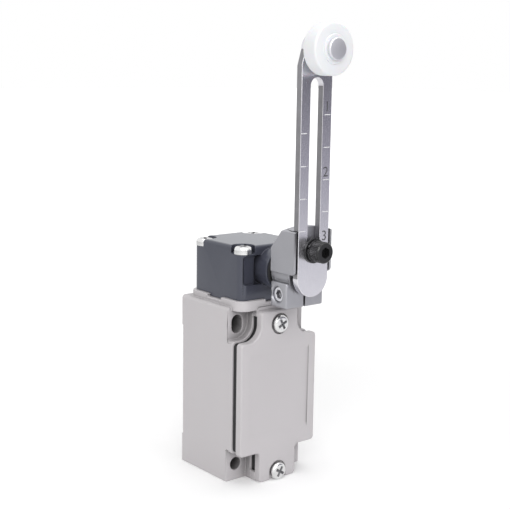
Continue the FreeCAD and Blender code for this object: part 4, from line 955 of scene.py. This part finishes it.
class LIMITSWITCH_OT_hub(bpy.types.Operator):
    """Model the lever hub and its clamp screw"""
    bl_idname = "limitswitch.hub"
    bl_label = "Lever hub"

    def execute(self, context):
        given = context.scene.limit_lever
        low, high = HUB
        back = -given.upper_back
        piece = add_block("hub_casting", (low.x, low.y, given.upper_foot), (high.x, back, high.z))
        round_edges(piece, given.corner,
                    lambda p, q: same(p.y, low.y) and same(q.y, low.y) and same(p.z, q.z), segments=6)
        rise = high.z - given.side_top
        arch = (high.x ** 2 + rise ** 2) / (2 * rise)
        dome = add_rod("dome", "y", (0, high.z - arch), low.y - PAST, back + PAST, arch, sides=180)
        combine(piece, dome, "INTERSECT")
        run = given.slope_depth - given.upper_back
        climb = high.z - given.slope_foot
        wedge = add_block("slope", (-0.02, 0, 0), (0.02, 0.02, 0.03))
        wedge.data.transform(Matrix.Translation((0, back, given.slope_foot))
                             @ Matrix.Rotation(math.atan2(run, climb), 4, "X")
                             @ Matrix.Translation((0, 0, -0.01)))
        carve(piece, wedge)
        jaws = add_block("jaws", (low.x, -given.jaw_front, low.z), (high.x, -given.jaw_back, given.jaw_top))
        round_edges(jaws, JAW_ROUND, lambda p, q: same(p.x, q.x) or same(p.z, q.z), segments=4)
        waist = add_rod("waist", "y", SHAFT_AXIS, -given.jaw_front, -given.jaw_back, given.waist, sides=96)
        collar = add_rod("collar", "y", SHAFT_AXIS, -given.jaw_back - COLLAR_OVERLAP, high.y, given.collar,
                         sides=96)
        grow(piece, jaws, waist, collar)
        clamp = (-given.clamp_depth, given.clamp_height)
        carve(
            piece,
            add_block("channel", (-given.channel / 2, low.y - PAST, given.upper_foot - PAST),
                      (given.channel / 2, -given.channel_floor, high.z + PAST)),
            add_rod("bore", "y", SHAFT_AXIS, SHAFT[0].y - BORE_GAP, high.y + PAST, HUB_BORE, sides=64),
            add_block("slit", (-given.slit / 2, -SLIT_FRONT, low.z - PAST),
                      (given.slit / 2, high.y + PAST, SHAFT_AXIS[1] - SLIT_END)),
            add_rod("seat", "x", clamp, low.x - PAST, CLAMP[0].x + given.clamp_head, given.clamp_radius,
                    sides=48),
            add_rod("seat_mouth", "x", clamp, low.x - 0.0001, low.x + 0.0005, given.clamp_radius + 0.0006,
                    top=given.clamp_radius, sides=48),
            add_rod("thread", "x", clamp, low.x, high.x - CLAMP_THREAD_WALL, CLAMP_THREAD, sides=32),
            add_rod("tapping", "y", BOLT_AXIS, -given.channel_floor - PAST, -BOLT_THREAD_END, BOLT_THREAD,
                    sides=32),
        )
        soften(piece, given.edge, segments=3)
        deliver(piece, "lever", casting(), "satin_casting", "lever_hub")
        self.clamp_screw(given, clamp)
        return {"FINISHED"}

    def clamp_screw(self, given, clamp):
        """The socket-head screw across the jaws."""
        low, high = CLAMP
        radius = (high.z - low.z) / 2
        under = low.x + given.clamp_head
        head = add_rod("clamp_screw_head", "x", clamp, low.x, under, radius, sides=64)
        grow(head, add_rod("shank", "x", clamp, under - SINK, high.x, CLAMP_SHANK, sides=32))
        carve(head, add_rod("socket", "x", clamp, low.x - PAST, low.x + CLAMP_SOCKET_DEPTH, CLAMP_SOCKET,
                            sides=6))
        soften(head, 0.00022, segments=2)
        deliver(head, "lever", socket_steel(), "steel", "clamp_screw")


class LIMITSWITCH_OT_arm(bpy.types.Operator):
    """Model the slotted arm with its scale"""
    bl_idname = "limitswitch.arm"
    bl_label = "Lever arm"

    def execute(self, context):
        given = context.scene.limit_lever
        low, high = ARM
        half = high.x
        round_centre = low.z + half
        front, back = low.y, high.y
        piece = add_block("arm_strip", (-half, front, round_centre), (half, back, given.shoulder))
        grow(piece, add_rod("foot", "y", (0, round_centre), front, back, half, sides=128))
        top = add_block("top", (-half, front, given.shoulder), (half, back, ROLLER_AXIS[1]))
        squeeze(top, (given.tip_radius / half, 1, 1), (0, 0, 0), lambda p: p.z > given.shoulder + 0.001)
        grow(piece, top, add_rod("tip", "y", ROLLER_AXIS, front, back, given.tip_radius, sides=96))
        slot = given.arm_slot / 2
        long_slot = add_block("slot", (-slot, front - PAST, given.slot_low - slot),
                              (slot, back + PAST, given.slot_high + slot))
        round_edges(long_slot, slot * NEARLY, crosswise, segments=16)
        carve(piece, long_slot,
              add_rod("pin_hole", "y", ROLLER_AXIS, front - PAST, back + PAST, PIN_HOLE, sides=48))
        soften(piece, given.arm_edge, segments=3)
        grooves, fills = [], []
        for highest, left, right in ((given.tick_right, slot + TICK_GAP, half),
                                     (given.tick_left, -half, -slot - TICK_GAP)):
            for step in range(4):
                z = highest - step * given.tick_pitch
                below, above = z - given.tick_width / 2, z + given.tick_width / 2
                grooves.append(add_block("groove", (left, front - PAST, below),
                                         (right, front + given.tick_sink, above)))
                fills.append(add_block("fill", (left + FILL_START, front + SKIN, below + SKIN),
                                       (right - FILL_END, front + given.tick_sink, above - SKIN)))
        carve(piece, *grooves)
        deliver(piece, "arm", polished_strip(), "polished_steel", "lever_arm")
        piece.data.materials.append(sheared_edge())
        # The side faces get the darker copy of the strip colour: partly their duller sheared finish, partly
        # painted shade.
        for face in piece.data.polygons:
            if abs(face.normal.y) < 0.5 and face.area > 2e-6:
                face.material_index = 1
        marks = join("scale_marks", fills)
        white = finish("Etched white", (0.86, 0.86, 0.87), (0.74, 0.74, 0.76), 0.0, 0.7, 0.1, patch=900,
                       grain=5000, height=0.2, grime=0.0)
        marks.data.materials.append(white)
        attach(marks, "arm")
        self.digits(given, front, slot, half)
        return {"FINISHED"}

    def digits(self, given, front, slot, half):
        """Plain numbers on the right-hand side of the scale."""
        etched = finish("Etched", bpy.context.scene.limit_finish.etched, (0.16, 0.16, 0.17), 0.6, 0.6, 0.1,
                        patch=900, grain=5000, height=0.2)
        marks = []
        for number in (1, 2, 3):
            z = given.tick_right - 2 * (number - 1) * given.tick_pitch + DIGIT_RISE
            deselect()
            bpy.ops.object.text_add(location=((slot + half) / 2, front - SKIN, z),
                                    rotation=(math.pi / 2, 0, 0))
            mark = bpy.context.object
            mark.data.body = str(number)
            mark.data.size = given.digit_height * DIGIT_BODY
            mark.data.align_x = "CENTER"
            mark.data.extrude = SKIN
            bpy.ops.object.convert(target="MESH")
            marks.append(settle("digit"))
        piece = join("scale_numbers", marks)
        piece.data.materials.clear()
        piece.data.materials.append(etched)
        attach(piece, "arm")


class LIMITSWITCH_OT_arm_bolt(bpy.types.Operator):
    """Model the arm bolt and its washers"""
    bl_idname = "limitswitch.arm_bolt"
    bl_label = "Arm bolt"

    def execute(self, context):
        given = context.scene.limit_lever
        low, high = BOLT
        radius = (high.x - low.x) / 2
        flat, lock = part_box("arm_flat_washer"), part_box("arm_spring_washer")
        under = lock[0].y
        sides = given.knurls * 2
        head = add_rod("arm_bolt_head", "y", BOLT_AXIS, low.y, under, radius, sides=sides)
        across, height = BOLT_AXIS
        part = 1 - given.knurl_depth / radius
        squeeze(head, (part, 1, part), (across, 0, height),
                lambda p: round(math.atan2(p.z - height, p.x - across) / (2 * math.pi) * sides) % 2 == 1)
        # A 45-degree cone that takes half a millimetre off the head's front edge.
        nose = add_rod("nose", "y", BOLT_AXIS, low.y - 0.002, low.y + 0.02, radius - 0.0025,
                       top=radius + 0.0195, sides=96)
        combine(head, nose, "INTERSECT")
        socket = add_rod("socket", "y", BOLT_AXIS, low.y - PAST, low.y + BOLT_SOCKET_DEPTH,
                         given.socket_radius, sides=6)
        carve(head, socket)
        grow(head, add_rod("shank", "y", BOLT_AXIS, under - SINK, high.y, given.bore - SKIN, sides=40))
        facet(head)
        deliver(head, "lever", black_oxide(), "black_oxide", "arm_bolt")
        plain, split = [self.washer(name, corners, given.bore + WASHER_GAP)
                        for name, corners in (("flat_washer_ring", flat), ("spring_washer_ring", lock))]
        soften(plain, 0.00018, segments=2)
        deliver(plain, "lever", black_oxide(), "black_oxide", "arm_flat_washer")
        gap = add_block("gap", (0, -PAST, -SPLIT_HALF), (PAST, PAST, SPLIT_HALF))
        gap.data.transform(Matrix.Translation((0, (lock[0].y + lock[1].y) / 2, BOLT_AXIS[1]))
                           @ Matrix.Rotation(math.radians(SPLIT_TURN), 4, "Y")
                           @ Matrix.Rotation(math.radians(SPLIT_LEAN), 4, "X"))
        carve(split, gap)
        soften(split, 0.00015, segments=2)
        deliver(split, "lever", black_oxide(), "black_oxide", "arm_spring_washer")
        return {"FINISHED"}

    def washer(self, name, corners, bore):
        """A plain ring between two corners, on the bolt's axis."""
        low, high = corners
        ring = add_rod(name, "y", BOLT_AXIS, low.y, high.y, (high.x - low.x) / 2, sides=72)
        return carve(ring, add_rod("hole", "y", BOLT_AXIS, low.y - PAST, high.y + PAST, bore, sides=48))


class LIMITSWITCH_OT_roller(bpy.types.Operator):
    """Model the roller and its riveted pin"""
    bl_idname = "limitswitch.roller"
    bl_label = "Roller"

    def execute(self, context):
        given = context.scene.limit_roller
        low, high = ROLLER
        radius = (high.x - low.x) / 2
        face = low.y + given.boss_rise
        wheel = add_rod("roller_wheel", "y", ROLLER_AXIS, face, high.y, radius, sides=160)
        round_edges(wheel, given.edge, lambda p, q: same(p.y, q.y), segments=5)
        boss = add_rod("boss", "y", ROLLER_AXIS, low.y, face + ROLLER_BOSS_OVERLAP, given.boss, sides=96)
        grow(wheel, boss)
        carve(wheel, add_rod("bore", "y", ROLLER_AXIS, low.y - PAST, high.y + PAST, given.bore, sides=64))
        soften(wheel, 0.00022, segments=3)
        deliver(wheel, "roller", nylon(), "white_nylon", "roller")
        low, high = PIN
        arm_front, arm_back = ARM[0].y, ARM[1].y
        head_back = low.y + given.pin_head_thick
        pin = add_rod("roller_rivet", "y", ROLLER_AXIS, low.y, head_back, given.pin_head, sides=72)
        round_edges(pin, 0.00045, level("y", low.y), segments=4)
        tail = add_rod("tail", "y", ROLLER_AXIS, arm_back, high.y, given.pin_head,
                       top=given.pin_head * TAIL_TAPER, sides=72)
        collar = add_rod("collar", "y", ROLLER_AXIS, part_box("roller")[1].y + COLLAR_GAP, arm_front,
                         given.collar, sides=72)
        shank = add_rod("shank", "y", ROLLER_AXIS, head_back - SINK, arm_back + SINK, given.pin, sides=64)
        grow(pin, shank, collar, tail)
        soften(pin, 0.00018, segments=2)
        deliver(pin, "arm", turned_steel(), "steel", "roller_pin")
        return {"FINISHED"}


class LIMITSWITCH_OT_springs(bpy.types.Operator):
    """Model the two coil springs inside"""
    bl_idname = "limitswitch.springs"
    bl_label = "Springs"

    def execute(self, context):
        wire = metal("Spring wire", (0.5, 0.5, 0.5), 0.25)
        for name, node, turns, share in (("return_coil", "return_spring", 5, 0.065),
                                         ("contact_coil", "contact_spring", 6, 0.12)):
            low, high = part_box(node)
            outer = (high.x - low.x) / 2
            radius = outer * share
            deselect()
            bpy.ops.mesh.primitive_circle_add(vertices=10, radius=radius, location=(outer - radius, 0, 0),
                                              rotation=(math.pi / 2, 0, 0))
            coil = settle(name)
            wind = coil.modifiers.new("Wind", "SCREW")
            wind.axis = "Z"
            wind.iterations = turns
            wind.steps = wind.render_steps = 28
            wind.screw_offset = (high.z - low.z - 2 * radius) / turns
            bpy.ops.object.modifier_apply(modifier=wind.name)
            mode("EDIT")
            bpy.ops.mesh.select_all(action="SELECT")
            bpy.ops.mesh.remove_doubles(threshold=1e-7)
            bpy.ops.mesh.select_mode(type="EDGE")
            bpy.ops.mesh.select_all(action="DESELECT")
            bpy.ops.mesh.select_non_manifold()
            bpy.ops.mesh.edge_face_add()
            bpy.ops.mesh.select_all(action="SELECT")
            bpy.ops.mesh.normals_make_consistent(inside=False)
            mode("OBJECT")
            coil.data.transform(Matrix.Translation((0, HEAD_AXIS_Y, low.z + radius)))
            bpy.ops.object.shade_smooth()
            deliver(coil, "housing", wire, "spring_steel", node)
        return {"FINISHED"}


class LIMITSWITCH_OT_inner(bpy.types.Operator):
    """Give every carried-over inner part its finish"""
    bl_idname = "limitswitch.inner"
    bl_label = "Inner parts"

    def execute(self, context):
        bright, brass = plated(), metal("Brass", (0.75, 0.56, 0.28), 0.28)
        steel, dark = turned_steel(), moulding("Phenolic", (0.03, 0.028, 0.027))
        finishes = {
            "ground_screw": bright, "switch_mounting_screws": bright, "terminal_screws": bright,
            "terminal_clamps": bright, "switch_base": dark,
            "switch_cover": moulding("Amber cover", (0.45, 0.25, 0.08), 0.25),
            "nc_terminals": brass, "no_terminals": brass, "moving_contact": brass,
            "switch_button": moulding("Red button", (0.35, 0.03, 0.02), 0.35), "plunger": nylon(),
            "head_gasket": rubber(), "shaft_bushing": metal("Bronze", (0.45, 0.30, 0.16), 0.4),
            "lever_shaft": steel, "shaft_retaining_ring": metal("Ring steel", (0.4, 0.4, 0.42), 0.3),
            "cam": steel, "cam_pin": steel,
        }
        for node, material in finishes.items():
            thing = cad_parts[node]
            if not thing.material_slots:
                thing.data.materials.append(material)
            thing.material_slots[0].material = material
        return {"FINISHED"}


class LIMITSWITCH_OT_stage(bpy.types.Operator):
    """Add the floor, the soft lights and the camera"""
    bl_idname = "limitswitch.stage"
    bl_label = "Stage"

    def execute(self, context):
        given = context.scene.limit_stage
        self.floor()
        self.card()
        self.lights(given)
        self.camera(given)
        return {"FINISHED"}

    def floor(self):
        """A pale floor under the switch, as bright as the surround where nothing shades it."""
        deselect()
        bpy.ops.mesh.primitive_plane_add(size=12, location=(0, 0, CASE[0].z))
        floor = settle("floor")
        material = finish("Pale floor", (0.92, 0.92, 0.92), (0.95, 0.95, 0.95), 0.0, 0.9, 0.05, patch=3,
                          grain=40, height=0.02, grime=0.0, Specular_IOR_Level=0.1)
        shader = material.node_tree.nodes["Principled BSDF"]
        shader.inputs["Emission Color"].default_value = (1, 1, 1, 1)
        wire(material.node_tree, {"shader": shader}, {
            "seen": ("LightPath", {}, {}),
            "place": ("TexCoord", {}, {}),
            "away": ("VectorMath", {"operation": "LENGTH"}, {}),
            "glow": ("MapRange", {}, {"From Min": 0.15, "From Max": 1.2, "To Min": 0.12, "To Max": 0.8}),
            "lift": ("Math", {"operation": "MULTIPLY"}, {}),
        }, ("place.Object > away.0", "away.Value > glow.Value", "glow.Result > lift.1",
            "seen.Is Camera Ray > lift.0", "lift.Value > shader.Emission Strength"))
        floor.data.materials.append(material)

    def card(self):
        """A glowing card out of view that the polished arm mirrors: white at its foot, dim at its top."""
        deselect()
        bpy.ops.mesh.primitive_plane_add(size=1, location=(0, 0, 0))
        card = settle("card")
        foot, top = CASE[0].z, CASE[0].z + 0.3
        reach = 0.35
        card.data.transform(Matrix.Translation((0.67 * reach, ARM[0].y - 0.743 * reach, (foot + top) / 2))
                            @ Matrix.Rotation(math.radians(42), 4, "Z") @ Matrix.Rotation(math.pi / 2, 4, "X")
                            @ Matrix.Diagonal((0.4, top - foot, 1, 1)))
        material = bpy.data.materials.new("Card")
        material.use_nodes = True
        nodes = {"shader": material.node_tree.nodes["Principled BSDF"]}
        wire(material.node_tree, nodes, {
            "place": ("TexCoord", {}, {}),
            "split": ("SeparateXYZ", {}, {}),
            "ramp": ("ValToRGB", {}, {}),
            "height": ("MapRange", {}, {"From Min": foot, "From Max": top}),
        }, ("place.Object > split.Vector", "split.Z > height.Value", "height.Result > ramp.Fac",
            "ramp.Color > shader.Emission Color"))
        colours = nodes["ramp"].color_ramp.elements
        stops = ((0.0, (0.86, 0.86, 0.90)), (0.12, (0.70, 0.70, 0.74)), (0.30, (0.37, 0.36, 0.43)),
                 (0.60, (0.06, 0.059, 0.08)))
        for index, (spot, tint) in enumerate(stops):
            stop = colours[index] if index < 2 else colours.new(spot)
            stop.position = spot
            stop.color = (*tint, 1)
        for label, value in (("Base Color", (0.02, 0.02, 0.02, 1)), ("Emission Strength", 1.0),
                             ("Roughness", 0.9)):
            nodes["shader"].inputs[label].default_value = value
        card.data.materials.append(material)
        card.visible_camera = False

    def lights(self, given):
        """A white surround that lights softly, and two broad lamps that give the shape its shadows."""
        world = bpy.data.worlds.new("Surround")
        world.use_nodes = True
        back = world.node_tree.nodes["Background"]
        back.inputs["Color"].default_value = (1.0, 1.0, 1.0, 1)
        wire(world.node_tree, {"back": back}, {
            "bounce": ("LightPath", {}, {}),
            "strength": ("MapRange", {}, {"To Min": 1.0, "To Max": given.world}),
        }, ("bounce.Is Diffuse Ray > strength.Value", "strength.Result > back.Strength"))
        bpy.context.scene.world = world
        middle = Vector((0, HEAD_AXIS_Y, 0.04))
        for name, power, spot, side in (("key", given.key, (-0.75, -0.85, 0.75), 0.7),
                                        ("fill", given.fill, (0.35, -1.0, 0.45), 0.6),
                                        ("top", given.top, (0.1, -0.1, 1.1), 0.9)):
            deselect()
            bpy.ops.object.light_add(type="AREA", location=spot)
            lamp = bpy.context.object
            lamp.name = name
            lamp.data.energy = power
            lamp.data.size = side
            lamp.visible_camera = False
            lamp.rotation_euler = (Vector(spot) - middle).to_track_quat("Z", "Y").to_euler()

    def camera(self, given):
        """The camera, turned by its azimuth, elevation and roll."""
        azimuth, elevation, roll = (math.radians(a) for a in (given.azimuth, given.elevation, given.roll))
        back = Vector((math.sin(azimuth) * math.cos(elevation), -math.cos(azimuth) * math.cos(elevation),
                       math.sin(elevation)))
        right = (-back).cross(Vector((0, 0, 1))).normalized()
        up = back.cross(right)
        across = right * math.cos(roll) + up * math.sin(roll)
        above = up * math.cos(roll) - right * math.sin(roll)
        deselect()
        bpy.ops.object.camera_add(location=given.camera)
        camera = bpy.context.object
        camera.name = "camera"
        camera.rotation_euler = Matrix((across, above, back)).transposed().to_euler()
        camera.data.lens = given.lens
        camera.data.sensor_width = 36.0
        camera.data.clip_start = 0.01
        bpy.context.scene.camera = camera
        bpy.context.scene.view_settings.view_transform = "Standard"


OPERATORS = (
    LIMITSWITCH_OT_case,
    LIMITSWITCH_OT_cover,
    LIMITSWITCH_OT_seals,
    LIMITSWITCH_OT_head,
    LIMITSWITCH_OT_screws,
    LIMITSWITCH_OT_hub,
    LIMITSWITCH_OT_arm,
    LIMITSWITCH_OT_arm_bolt,
    LIMITSWITCH_OT_roller,
    LIMITSWITCH_OT_springs,
    LIMITSWITCH_OT_inner,
    LIMITSWITCH_OT_stage,
)


class LIMITSWITCH_PT_panel(bpy.types.Panel):
    """The list of pieces in the sidebar"""
    bl_idname = "LIMITSWITCH_PT_panel"
    bl_label = "Limit Switch"
    bl_space_type = "VIEW_3D"
    bl_region_type = "UI"
    bl_category = "Limit Switch"

    def draw(self, context):
        for operator in OPERATORS:
            self.layout.operator(operator.bl_idname)


def register():
    """Registers the settings, the operators and the panel."""
    for name, kind in GROUPS.items():
        bpy.utils.register_class(kind)
        setattr(bpy.types.Scene, name, PointerProperty(type=kind))
    for kind in (*OPERATORS, LIMITSWITCH_PT_panel):
        bpy.utils.register_class(kind)


def unregister():
    """Takes back what register() added."""
    for kind in reversed((*OPERATORS, LIMITSWITCH_PT_panel)):
        bpy.utils.unregister_class(kind)
    for name, kind in reversed(GROUPS.items()):
        delattr(bpy.types.Scene, name)
        bpy.utils.unregister_class(kind)


def main():
    """Registers the add-on and builds every piece in order."""
    register()
    for operator in OPERATORS:
        group, name = operator.bl_idname.split(".")
        getattr(getattr(bpy.ops, group), name)()


if __name__ == "__main__":
    main()
